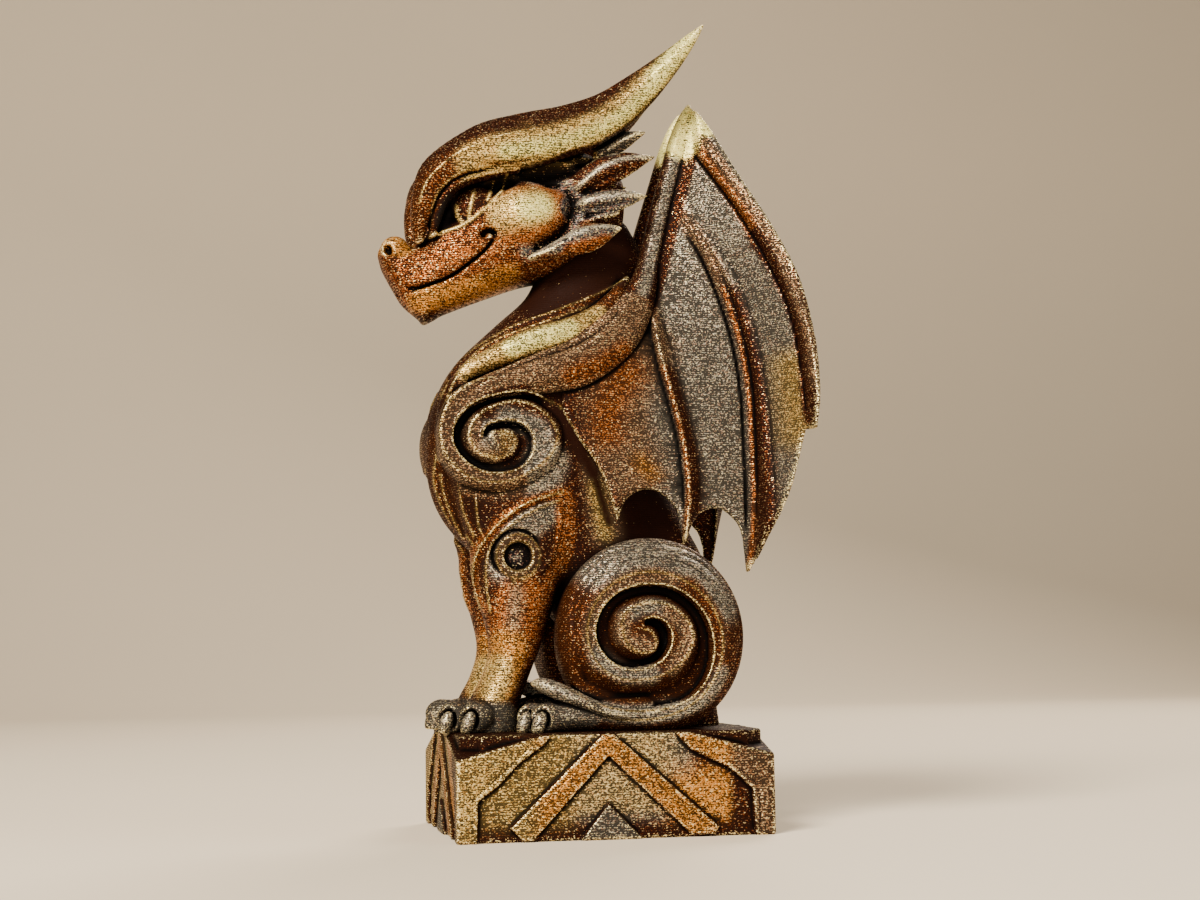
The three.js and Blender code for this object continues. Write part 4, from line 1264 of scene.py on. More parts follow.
@dataclass(frozen=True)
class Foreleg:
    """A foreleg: the coiled shoulder, the arm with its leaf and ring, and the paw."""

    arm: Rows = (
        (57.0, -18.0, -6.0, -9.4, -4.0),
        (50.0, -19.6, -4.0, -10.6, -2.6),
        (45.0, -19.0, -3.0, -10.6, -2.0),
        (40.0, -17.4, -2.9, -10.3, -1.6),
        (35.0, -16.4, -3.9, -9.8, -1.5),
        (30.0, -15.6, -5.6, -9.3, -1.7),
        (24.0, -14.3, -7.6, -8.9, -2.0),
        (20.0, -15.2, -9.2, -8.8, -2.1),
        (16.5, -17.0, -10.4, -9.0, -1.8),
        (12.0, -18.2, -10.8, -9.2, -1.8),
    )
    shoulder: CoiledSide = CoiledSide(
        body=Loft(
            1,
            (
                (-5.0, -20.9, -5.2, 43.2, 57.6),
                (-9.0, -21.2, -5.2, 43.2, 57.8),
                (-11.0, -21.2, -5.4, 43.4, 57.8),
                (-11.8, -21.0, -5.8, 43.8, 57.6),
            ),
            power=2.2,
        ),
        coil=Volute(
            centre=(-13.6, 50.1),
            start=270,
            crest=(
                1.2, 0.9, 0.7, 1.1, 2.1, 2.6, 2.8, 3.3, 3.8, 3.8, 4.2, 5.9, 7.6, 6.1, 5.85, 6.6,
                7.5, 7.7, 7.8,
            ),
            wall=(2.0, 1.9, 1.8, 2.7, 4.2, 4.6, 4.4, 4.9, 5.7, 5.2, 5.2, 7.4, 11.5),
            depth=1.7,
        ),
        face=11.6,
        sweep=1080,
        fall=0.9,
        blend=0.5,
    )
    leaf: Sequence[Line] = (
        (
            (-5.2, 43.2), (-8.1, 42.4), (-10.8, 41.3), (-12.9, 39.8), (-14.6, 38.0), (-15.9, 36.0),
            (-16.4, 33.9), (-16.2, 31.0), (-15.4, 28.6),
        ),
        (
            (-5.6, 42.2), (-9.5, 40.6), (-12.5, 38.6), (-14.4, 36.5), (-15.0, 33.6), (-14.8, 30.6),
            (-14.4, 28.0),
        ),
        ((-5.4, 42.4), (-5.6, 38.3), (-6.6, 35.1), (-8.4, 32.6)),
    )
    ring: tuple[float, float] = (-11.0, 35.1)
    ring_inner: float = 1.75
    ring_outer: float = 2.75
    ring_swell: float = 0.25
    ring_rise: float = 0.12
    disc_depth: float = 0.9
    moat_depth: float = 0.5
    moat_width: float = 0.25
    moat_gap: float = 0.3
    paw: Paw = Paw(((-16.4, -8.8, 15.0), (-18.9, -6.4, 15.0), (-18.4, -3.6, 15.0)), (2.2, 1.55, 1.95))

    SWELL_TURN = 0.6
    DISC_WALL = (-0.15, 0.1)
    RING_WALLS = (0.25, 0.2)
    RING_DEPTHS = (-12.0, -7.5, -6.5)
    MOAT_TURN = 0.9
    MOAT_RANGE = (-0.6, 0.4)
    MARGIN = 2.0

    def model(self, clay: Clay) -> None:
        """Models it in clay."""
        clay.add(Loft(2, self.arm, power=2.2), blend=1.4)
        clay.add(self.shoulder, blend=0.4)
        self.paw.model(clay)

    def engrave(self, clay: Clay) -> None:
        """Draws the leaf, and the ring with its sunk disc."""
        clay.lines(self.leaf[:1], rise=0.42, width=0.26, y_from=-12, y_to=-5)
        clay.lines(self.leaf[1:], rise=0.24, width=0.2, y_from=-12, y_to=-6)
        x0, z0 = self.ring
        reach = self.ring_outer + self.MARGIN
        outside, deep, deepest = self.RING_DEPTHS
        cut, (x, y, z) = clay.window((x0 - reach, outside, z0 - reach), (x0 + reach, deepest, z0 + reach))
        radius = np.hypot(x - x0, z - z0)
        # A sunk disc, a ring that is wider on one side, and a moat round all but its lower back
        turn = np.arctan2(z - z0, x - x0)
        outer = self.ring_outer + self.ring_swell * np.sin(turn - self.SWELL_TURN)
        disc = 1 - ramp(radius - self.ring_inner, *self.DISC_WALL)
        first, last = self.RING_WALLS
        ring = band(radius, self.ring_inner, self.ring_inner + first, outer - last, outer)
        moat = bump(radius - outer - self.moat_gap, self.moat_width)
        moat = moat * ramp(-np.cos(turn + self.MOAT_TURN), *self.MOAT_RANGE)
        sunk = self.disc_depth * disc - self.ring_rise * ring + self.moat_depth * moat
        clay.field[cut] += sunk * (1 - ramp(y, deep, deepest))

    def strokes(self) -> list[Stroke]:
        """Its wax."""
        turns = np.linspace(90, -270, 17)
        back = ((-12.0, 44.4), (-17.0, 44.6), (-20.2, 49.0), (-17.4, 55.6))
        return [
            Stroke(Wax.RUST, ((-9.0, 46.0), (-8.0, 38.0)), 5.0, 0.28, 2.0, out=2.0),
            Stroke(Wax.SILVER, ((-7.6, 41.0), (-10.5, 38.6), (-12.6, 34.0)), 1.5, 0.45, 1.6, out=6.5),
            Stroke(Wax.SILVER, ((-6.6, 47.0), (-8.0, 44.0)), 1.4, 0.58, 1.8, out=6.5),
            Stroke(Wax.COPPER, ((-10.6, 29.6), (-11.4, 24.0)), 2.2, 0.55, 2.4, out=2.0),
            Stroke(Wax.BRONZE, ((-11.2, 30.6), (-11.8, 25.0)), 0.1, 0.56, 1.6, out=6.0),
            Stroke(Wax.COPPER, ((-4.8, 42.0), (-5.0, 36.0), (-7.0, 30.0)), 0.9, 0.5, 1.0, out=4.0),
            Stroke(Wax.COPPER, self.leaf[0], 0.4, 0.48, 0.6, out=4.0),
            *(Stroke(Wax.GOLD, line, 0.0, 0.5, 0.22, out=5.0) for line in self.leaf[:2]),
            Stroke(Wax.BRONZE, around(self.ring, 2.3, turns), 0.5, 0.26, 0.3, out=6.0),
            Stroke(Wax.GOLD, around(self.ring, 1.9, turns), 0.0, 0.46, 0.2, out=6.0),
            Stroke(Wax.GOLD, around(self.ring, 2.75, turns), 0.0, 0.46, 0.2, out=6.0),
            Stroke(Wax.SMOKE, (self.ring, (-10.9, 35.2)), 1.3, 0.6, 0.3, out=6.0),
            Stroke(Wax.AMBER, ((-12.4, 23.4), (-13.8, 19.0)), 1.6, 0.54, 1.8),
            Stroke(Wax.GOLD, ((-13.4, 21.0), (-14.2, 18.0)), 0.8, 0.6, 1.8),
            Stroke(Wax.SILVER, ((-19.8, 15.0), (-13.0, 14.6)), 1.6, 0.28, 1.0),
            *(Stroke(Wax.SILVER, claw, 0.5, 0.5, 0.4) for claw in self.paw.claws()),
            Stroke(Wax.SILVER, ((-12.6, 52.6), (-8.2, 50.6), (-9.4, 46.2)), 0.8, 0.47, 1.2, out=9.0),
            Stroke(Wax.BRONZE, back, 1.2, 0.36, 1.2, out=8.0),
            Stroke(Wax.SILVER, ((-15.0, 51.4), (-14.6, 49.2), (-12.4, 49.0)), 0.5, 0.5, 0.8, out=9.0),
            Stroke(Wax.BRONZE, ((-16.6, 52.0), (-16.8, 49.0), (-14.0, 46.6)), 0.5, 0.5, 0.7, out=9.0),
            *self.shoulder.coil.gilding(Wax.GOLD, 7.0),
        ]


@dataclass(frozen=True)
class Haunch:
    """A hind leg: the big coil, whose band runs out at its foot, and the foot under it."""

    coil: CoiledSide = CoiledSide(
        body=Loft(
            1,
            (
                (-2.5, -3.6, 15.6, 13.4, 34.6),
                (-4.5, -5.6, 17.6, 12.6, 37.0),
                (-9.0, -6.2, 17.9, 12.4, 37.3),
                (-11.6, -6.0, 17.7, 12.6, 37.2),
                (-13.2, -5.2, 16.8, 13.2, 36.2),
                (-14.2, -4.6, 15.6, 13.8, 34.8),
            ),
            power=2.05,
        ),
        coil=Volute(
            centre=(4.2, 24.9),
            start=0,
            crest=(
                0.8, 1.0, 1.35, 2.1, 2.3, 2.4, 2.8, 3.75, 4.1, 5.1, 6.35, 5.75, 5.55, 6.7, 7.4, 7.6,
                8.0, 8.9, 10.2, 10.7, 10.6, 11.9,
            ),
            wall=(1.8, 2.75, 3.42, 3.6, 3.9, 4.95, 6.0, 6.15, 6.2, 7.25, 8.65, 9.65, 9.2, 10.6, 14.5),
            depth=2.0,
            closing=40.0,
        ),
        face=14.0,
        sweep=945,
        fall=0.42,
        blend=0.6,
        rings=(0.9, 2.6),
    )
    rings: Sequence[Line] = (
        (
            (-3.0, 19.4), (-4.6, 24.0), (-4.2, 28.2), (-2.2, 31.6), (1.8, 34.2), (6.4, 34.7),
            (11.0, 33.4), (14.2, 30.0),
        ),
        (
            (-4.9, 26.0), (-4.4, 29.6), (-2.2, 32.8), (1.6, 35.0), (6.4, 35.6), (11.6, 34.4),
            (15.0, 31.2), (16.2, 27.0),
        ),
        (
            (-4.9, 29.4), (-3.2, 32.6), (0.6, 35.4), (6.4, 36.5), (12.0, 35.1), (15.8, 31.2),
            (17.2, 25.0), (15.8, 19.4),
        ),
    )
    band_end: Rows = (
        (8.0, -12.4, 15.6, 0.75, 1.5),
        (3.6, -12.6, 15.0, 0.75, 1.5),
        (0.1, -12.6, 15.3, 0.8, 1.6),
        (-2.8, -12.4, 16.3, 0.95, 1.7),
        (-6.0, -12.0, 17.8, 1.1, 1.7),
        (-8.2, -11.6, 18.8, 0.9, 1.5),
        (-9.4, -11.2, 19.1, 0.4, 0.8),
    )
    foot: Rows = (
        (4.0, -10.8, 15.0, 2.6, 2.6),
        (-3.0, -11.0, 15.1, 1.9, 2.4),
        (-6.6, -11.0, 15.0, 1.9, 2.3),
        (-9.0, -11.0, 14.8, 1.5, 2.0),
    )
    paw: Paw = Paw(((-8.0, -12.3, 14.9), (-9.6, -10.4, 14.9), (-9.2, -8.4, 14.8)), (1.9, 1.4, 1.8))

    def model(self, clay: Clay) -> None:
        """Models it in clay."""
        clay.add(self.coil, blend=0.6)
        clay.add(Limb(self.foot), blend=0.3)
        clay.add(Limb(self.band_end, power=3.0, facets=(0.95, 0.95)), blend=0.15)
        self.paw.model(clay)

    def engrave(self, clay: Clay) -> None:
        """Draws the fine rings round the coil's outer slope."""
        clay.lines(self.rings, rise=-0.26, width=0.15, y_from=-15, y_to=-6)

    def strokes(self) -> list[Stroke]:
        """Its wax."""
        x, z = self.coil.coil.centre
        top = around((x + 0.8, z), 10.4, range(-40, 71, 22))
        ring = around((x, z), (6.8, 6.9, 6.9, 7.0, 7.2, 7.7, 8.8, 9.6, 10.0), range(-120, 121, 30))
        return [
            Stroke(Wax.EMBER, ((4.0, 25.0), (6.0, 25.0)), 13.0, 0.27, 1.5, out=3.0),
            Stroke(Wax.SILVER, top, 1.0, 0.47, 2.6, out=5.0),
            Stroke(Wax.BRONZE, ring, 0.6, 0.37, 0.9, out=11.0),
            Stroke(Wax.SILVER, ((-1.6, 22.4), (1.6, 20.2), (5.0, 20.0)), 0.7, 0.46, 1.2, out=11.0),
            Stroke(Wax.SILVER, ((8.0, 27.6), (5.4, 28.6), (2.0, 27.4)), 0.5, 0.46, 0.9, out=11.0),
            Stroke(Wax.EMBER, ((10.2, 30.4), (13.0, 25.4), (12.2, 20.6)), 0.9, 0.3, 1.4, out=9.0),
            Stroke(Wax.BRONZE, ((1.6, 27.0), (1.6, 24.6), (4.6, 23.6)), 0.6, 0.46, 0.8, out=11.0),
            Stroke(Wax.BRONZE, ((7.8, 20.6), (9.9, 24.6), (7.6, 27.8)), 0.6, 0.42, 0.9, out=11.5),
            Stroke(Wax.SILVER, seen(self.band_end), 0.8, 0.58, 0.9, out=9.0),
            Stroke(Wax.SILVER, ((14.2, 20.0), (12.0, 16.8), (8.0, 15.2)), 0.5, 0.52, 1.0, out=11.0),
            *self.coil.coil.gilding(Wax.GOLD, 9.0),
            Stroke(Wax.SILVER, ((-10.4, 14.8), (-3.0, 15.2)), 1.4, 0.36, 0.8, out=8.0),
            *(Stroke(Wax.SILVER, claw, 0.5, 0.5, 0.4) for claw in self.paw.claws()),
        ]


class Coating:
    """The wax on a piece: its colour, and how thick it is, at every vertex."""

    CREVICE = (0.02, 0.14)

    def __init__(self, piece: bpy.types.Object, cover: float) -> None:
        """A thin, even coating.

        Args:
            piece: The piece.
            cover: How thick the wax is.
        """
        self.piece = piece
        self.places, self.normals = skin_arrays(piece)
        self.tone = np.tile(linear(Wax.RUST.value), (len(self.places), 1))
        self.cover = np.full(len(self.places), cover)

    def lay(self, wax: Wax, share: np.ndarray, cover: float) -> None:
        """Lays wax over a share of it, up to a thickness."""
        self.tone += (linear(wax.value) - self.tone) * share[:, None]
        self.cover += (cover - self.cover) * share

    def keep(self, crest: np.ndarray, cavity: np.ndarray) -> None:
        """Keeps it on the piece's vertices, for its material, which lays a painted gleam on crests and
        painted shade in hollows.

        Args:
            crest: How much each place stands out.
            cavity: How deep it lies.
        """
        ones = np.ones(len(self.places))
        layers = {
            "tone": np.column_stack([self.tone, ones]),
            # Wax, crests and hollows: the crests take a painted gleam and the hollows painted shade
            "wax_and_painted_light": np.column_stack([self.cover, crest, cavity, ones]),
        }
        for name, values in layers.items():
            layer = self.piece.data.color_attributes.new(name, "FLOAT_COLOR", "POINT")
            layer.data.foreach_set("color", values.astype(np.float32).ravel())


@dataclass(frozen=True)
class Plinth:
    """The low oblong plinth: a block with a sloping cut at each top corner, over a full-height core.

    Every face has the same relief: a raised chevron over a small peak, between two raised edge
    panels. Its outlines are drawn on the long face, seen from outside, from its middle.
    """

    half_length: float = 20.0
    half_width: float = 16.5
    height: float = 13.0
    corner_drop: float = 3.0
    corner_reach: float = 11.2
    core_inset: float = 0.8
    core_chamfer: float = 2.5
    sunk: float = 0.5
    score_depth: float = 0.2
    score_width: float = 0.13
    relief_edge: tuple[float, float] = (-0.08, 0.1)
    rounding: float = 0.2
    corner_rounding: float = 0.12
    core_blend: float = 0.08
    cover: float = 0.36
    top_cover: float = 0.06
    end_painted_shade: float = 0.08
    crest_share: float = 0.7
    crest_range: tuple[float, float] = (0.02, 0.14)
    fine_reach: float = 0.4
    step: float = 0.2
    rough_step: float = 0.35
    triangles: int = 130_000
    relief: Sequence[Line] = (
        (
            (-1.7, 14.0), (-1.7, 13.0), (-13.4, 1.8), (-11.9, 0.2), (-10.7, 0.1), (-9.9, 0.9), (-1.1, 10.2),
            (9.3, 0.3), (12.1, 0.3), (12.8, 1.2), (-0.6, 13.0), (-0.6, 14.0),
        ),
        ((-1.2, 4.4), (-5.6, -1.0), (4.1, -1.0)),
        (
            (-8.3, 14.0), (-8.4, 12.6), (-9.2, 11.7), (-12.5, 9.3), (-14.4, 7.3), (-15.3, 6.5),
            (-16.6, 5.6), (-17.3, 5.0), (-17.5, -1.0), (-22.0, -1.0), (-22.0, 14.0),
        ),
        (
            (7.1, 14.0), (7.4, 12.8), (9.3, 10.7), (11.6, 9.6), (14.1, 8.4), (15.7, 7.1), (17.1, 5.7),
            (17.4, -1.0), (22.0, -1.0), (22.0, 14.0),
        ),
    )
    scores: Sequence[Line] = (
        ((-2.3, 11.4), (-12.7, 1.5)),
        ((-11.3, 2.7), (-10.0, 1.0)),
        ((-0.3, 9.9), (9.9, 0.2)),
        ((0.4, 11.6), (11.6, 1.2)),
        ((-17.9, 5.2), (-18.0, 0.4)),
        ((17.9, 5.6), (18.0, 0.4)),
        ((15.2, 8.4), (17.5, 6.4)),
        ((-11.0, 11.4), (-14.6, 8.2), (-17.4, 5.8)),
    )

    LEVEL = (0.35, 0.7)
    MARGIN_STEPS = 3

    def build(self) -> list[bpy.types.Object]:
        """Its mesh, with its wax.

        Returns:
            The plinth.
        """
        step = self.step
        margin = self.MARGIN_STEPS * step
        reach = np.array((self.half_length, self.half_width)) + margin
        clay = Clay((*-reach, -margin), (*reach, self.height + margin), step, mirrored=False)
        x, y, z = clay.axes
        stretch = self.half_length / self.half_width
        # The same relief on all four faces, turned so that each is seen from outside
        left, right = (self._depth(u, z)[:, None, :] for u in (x, -x))
        front, back = (self._depth(u, z)[None] for u in (-y * stretch, y * stretch))
        side_y = np.where(y[None, :, None] < 0, left, right)
        side_x = np.where(x[:, None, None] < 0, front, back)
        places = np.abs(x)[:, None, None], np.abs(y)[None, :, None], z[None, None, :]
        out_x, out_y = places[0] - self.half_length, places[1] - self.half_width
        top = places[2] - self.height + 0 * out_x + 0 * out_y
        block = common(np.maximum(out_x + side_x, out_y + side_y), top, self.rounding)
        # The sloping cut at each corner, and then the core that shows through there
        slope = np.array((self.corner_drop, self.corner_drop, self.corner_reach))
        slope = slope / np.linalg.norm(slope)
        drop = places[2] - self.height + self.corner_drop
        corner = out_x * slope[0] + out_y * slope[1] + drop * slope[2]
        block = common(block, corner, self.corner_rounding)
        core_x, core_y = out_x + self.core_inset, out_y + self.core_inset
        chamfer = (core_x + core_y + self.core_chamfer) / math.sqrt(2)
        core = common(np.maximum(np.maximum(core_x, core_y), chamfer), top, self.rounding)
        clay.field = np.maximum(union(block, core, self.core_blend), -places[2]).astype(np.float32)
        piece = mesh_piece("plinth_block", *surface(*clay.whole(), step), self.triangles)
        self._wax(piece, clay)
        return [piece]

    def _depth(self, u: np.ndarray, z: np.ndarray) -> np.ndarray:
        """How far a face is sunk, by the place across it and the height."""
        u, z = u[:, None], z[None, :]
        raised = np.full(np.broadcast(u, z).shape, FAR)
        for outline in self.relief:
            raised = np.minimum(raised, outline_distance(u, z, outline))
        depth = self.sunk * ramp(raised, *self.relief_edge)
        for score in self.scores:
            distance, _ = line_distance(u, z, score)
            depth = depth + self.score_depth * bump(distance, self.score_width)
        return depth

    def _wax(self, piece: bpy.types.Object, clay: Clay) -> None:
        """Brushes it with wax.

        Args:
            piece: The plinth.
            clay: The clay that it was modelled in.
        """
        coating = Coating(piece, self.cover)
        x, y, z = coating.places.T
        ends = np.abs(coating.normals[:, 0]) > np.abs(coating.normals[:, 1])
        stretch = self.half_length / self.half_width
        along = np.where(ends, np.where(x < 0, -y, y) * stretch, np.where(y < 0, x, -x))
        inset = np.where(ends, self.half_length - np.abs(x), self.half_width - np.abs(y))
        across = np.abs(along)
        face = 1 - ramp(np.abs(coating.normals[:, 2]), *self.LEVEL)
        raised = 1 - ramp(inset, 0.12, 0.35)
        low = 1 - raised
        middle = (1 - ramp(across, 8.0, 11.0)) * ramp(z, 1.0, 3.0)
        glow = 0.7 * (1 - ramp(across, 5.0, 10.0)) * ramp(z, 2.0, 4.0)
        right = band(along, 4.5, 8.0, 13.6, 15.2) * ramp(z, 0.4, 2.0)
        peak = (1 - ramp(across, 4.0, 6.0)) * (1 - ramp(z, 4.0, 5.0))
        for wax, share, cover in (
            (Wax.SILVER, middle * low, 0.46),
            (Wax.GOLD, glow * low, 0.56),
            (Wax.GOLD, ramp(-along, 4.0, 7.0) * low, 0.44),
            (Wax.AMBER, right * (1 - ramp(z, 6.0, 11.0)) * low, 0.66),
            (Wax.AMBER, raised, 0.56),
            (Wax.GOLD, raised * ramp(-along, 8.5, 12.0), 0.5),
            (Wax.BRONZE, raised * ramp(along, 13.5, 15.5), 0.4),
            (Wax.SILVER, raised * peak, 0.32),
            (Wax.RUST, (1 - ramp(z, 0.2, 3.4)) * low, 0.3),
            (Wax.RUST, ramp(inset, 0.62, 0.74), 0.24),
        ):
            coating.lay(wax, share * face, cover)
        # The end faces take less wax: painted shade
        coating.cover -= self.end_painted_shade * ends
        top = ramp(coating.normals[:, 2], *self.LEVEL)
        coating.cover += (self.top_cover - coating.cover) * top
        # Crests take more wax and a painted gleam; crevices lose wax and take painted shade on the coat
        fine = clay.read(clay.crowding(self.fine_reach), coating.places) - 0.5
        crest = self.crest_share * ramp(-fine, *self.crest_range)
        coating.keep(crest, ramp(fine, *Coating.CREVICE))


Part = Union[Trunk, Head, Wing, Foreleg, Haunch]


@dataclass(frozen=True)
class Dragon:
    """The whole figure: four bodies modelled in clay, each from its parts, and brushed with wax."""

    trunk: Trunk = Trunk()
    head: Head = Head()
    wing: Wing = Wing()
    foreleg: Foreleg = Foreleg()
    haunch: Haunch = Haunch()
    low: Sequence[float] = (-28.4, -21.0, 12.4)
    high: Sequence[float] = (27.0, 3.0, 106.2)
    ground: float = 13.0
    step: float = 0.22
    rough_step: float = 0.42
    triangles: int = 180_000
    cover: float = 0.3
    fine_reach: float = 0.5
    broad_reach: float = 2.2
    crest_range: tuple[float, float] = (0.06, 0.24)
    hollow_range: tuple[float, float] = (0.08, 0.3)
    hollow_share: float = 0.9

    def build(self) -> list[bpy.types.Object]:
        """Models the figure.

        Returns:
            Its bodies.
        """
        rough = Clay(self.low, self.high, self.rough_step)
        for part in (self.trunk, self.foreleg, self.haunch, self.wing, self.head):
            part.model(rough)
        rough.mirror()
        full = rough.crowding(self.broad_reach)
        bodies: dict[str, tuple[Sequence[Part], Sequence[float], Sequence[float]]] = {
            "dragon_body": ((self.trunk, self.foreleg), (-22.5, -14.5, 12.4), (19.5, 3.0, 81.0)),
            "dragon_haunches": ((self.haunch,), (-12.5, -15.5, 12.4), (19.0, 1.0, 38.4)),
            "dragon_wings": ((self.wing,), (-20.5, -21.4, 31.0), (27.0, 1.0, 97.5)),
            "dragon_head": ((self.head,), (-28.4, -12.0, 65.0), (16.0, 3.0, 106.2)),
        }
        return [self._body(name, *body, rough, full) for name, body in bodies.items()]

    def _body(
        self,
        name: str,
        parts: Sequence[Part],
        low: Sequence[float],
        high: Sequence[float],
        rough: Clay,
        full: np.ndarray,
    ) -> bpy.types.Object:
        """Models one body.

        Args:
            name: Its name.
            parts: The parts that it is made of.
            low: The lowest corner of its clay.
            high: The highest corner.
            rough: The whole figure in coarse clay.
            full: How full of clay the space around each place of that is.

        Returns:
            The body.
        """
        step = self.step
        clay = Clay(low, high, step)
        for part in parts:
            part.model(clay)
        for part in parts:
            part.engrave(clay)
        clay.mirror()
        clay.field = np.maximum(clay.field, self.ground - clay.axes[2])
        piece = mesh_piece(name, *surface(*clay.whole(), step), self.triangles)
        coating = Coating(piece, self.cover)
        for stroke in [stroke for part in parts for stroke in part.strokes()]:
            coating.lay(stroke.wax, stroke.share(coating.places, coating.normals), stroke.cover)
        # Crests take more wax and a painted gleam; crevices and broad hollows, where shade falls, lose wax
        # and take painted shade on the coat
        fine = clay.read(clay.crowding(self.fine_reach), coating.places) - 0.5
        hollow = ramp(rough.read(full, coating.places) - 0.5, *self.hollow_range)
        cavity = np.maximum(ramp(fine, *Coating.CREVICE), self.hollow_share * hollow)
        coating.keep(ramp(-fine, *self.crest_range), cavity)
        return piece


class Shade:
    """A number in a material that varies over the surface: an operator on it adds a Math node."""

    def __init__(self, recipe: "Recipe", socket: bpy.types.NodeSocket) -> None:
        """Wraps an output socket."""
        self.recipe, self.socket = recipe, socket

    def reckon(self, operation: str, *values: Union["Shade", float]) -> "Shade":
        """A Math node on these values."""
        node = self.recipe.node("ShaderNodeMath", {"operation": operation}, dict(enumerate(values)))
        return Shade(self.recipe, node.outputs[0])

    def __add__(self, other: Union["Shade", float]) -> "Shade":
        """This and another, added."""
        return self.reckon("ADD", self, other)

    def __radd__(self, other: float) -> "Shade":
        """A number with this added."""
        return self.reckon("ADD", other, self)

    def __sub__(self, other: Union["Shade", float]) -> "Shade":
        """This less another."""
        return self.reckon("SUBTRACT", self, other)

    def __rsub__(self, other: float) -> "Shade":
        """A number less this."""
        return self.reckon("SUBTRACT", other, self)

    def __mul__(self, other: Union["Shade", float]) -> "Shade":
        """This times another."""
        return self.reckon("MULTIPLY", self, other)

    def __rmul__(self, other: float) -> "Shade":
        """A number times this."""
        return self.reckon("MULTIPLY", other, self)

    def wave(self) -> "Shade":
        """Its sine."""
        return self.reckon("SINE", self)

    def between(self, low: float, high: float) -> "Shade":
        """A soft step from 0 at `low` to 1 at `high`."""
        settings = {"interpolation_type": "SMOOTHSTEP", "clamp": True}
        node = self.recipe.node("ShaderNodeMapRange", settings, {0: self, 1: low, 2: high})
        return Shade(self.recipe, node.outputs[0])


class Recipe:
    """A material being put together from nodes."""

    ROUGH = 0.6

    def __init__(self, name: str) -> None:
        """An empty material."""
        self.material = bpy.data.materials.new(name)
        self.material.use_nodes = True
        self.tree = self.material.node_tree
        self.tree.nodes.clear()

    def node(self, kind: str, settings: dict[str, Any], inputs: dict[Any, Any]) -> bpy.types.Node:
        """Adds a node.

        Args:
            kind: Its type.
            settings: Its settings, which are set first.
            inputs: The values or links of its sockets, by name or number.

        Returns:
            The node.
        """
        node = self.tree.nodes.new(kind)
        for name, value in settings.items():
            setattr(node, name, value)
        for key, value in inputs.items():
            if isinstance(value, Shade):
                value = value.socket
            if isinstance(value, bpy.types.NodeSocket):
                self.tree.links.new(value, node.inputs[key])
            else:
                node.inputs[key].default_value = value
        return node

    def place(self) -> bpy.types.NodeSocket:
        """The place on the object in millimetres."""
        where = self.node("ShaderNodeTexCoord", {}, {}).outputs["Object"]
        scale = {0: where, 3: 1 / MM}
        return self.node("ShaderNodeVectorMath", {"operation": "SCALE"}, scale).outputs[0]

    def noise(self, place: bpy.types.NodeSocket, scale: Sequence[float], detail: float) -> Shade:
        """Noise with its own scale along each axis."""
        stretched = self.node("ShaderNodeVectorMath", {"operation": "MULTIPLY"}, {0: place, 1: scale})
        inputs = {"Vector": stretched.outputs[0], "Scale": 1.0, "Detail": detail, "Roughness": self.ROUGH}
        return Shade(self, self.node("ShaderNodeTexNoise", {}, inputs).outputs[0])

    def attribute(self, name: str) -> bpy.types.NodeSocket:
        """What is kept on the vertices under a name."""
        return self.node("ShaderNodeAttribute", {"attribute_name": name}, {}).outputs["Color"]

    def blend(
        self, share: Union[Shade, float], first: Any, second: Any, mode: str = "MIX"
    ) -> bpy.types.NodeSocket:
        """Two colours mixed by a share.

        Args:
            share: How much of the second there is.
            first: The first colour.
            second: The second.
            mode: How they mix.

        Returns:
            The mixed colour.
        """
        settings = {"data_type": "RGBA", "blend_type": mode, "clamp_factor": True}
        return self.node("ShaderNodeMix", settings, {0: share, 6: first, 7: second}).outputs[2]

    def finished(self, inputs: dict[str, Any]) -> bpy.types.Material:
        """The material, with these inputs on its shader."""
        shader = self.node("ShaderNodeBsdfPrincipled", {}, inputs)
        self.node("ShaderNodeOutputMaterial", {}, {0: shader.outputs[0]})
        return self.material


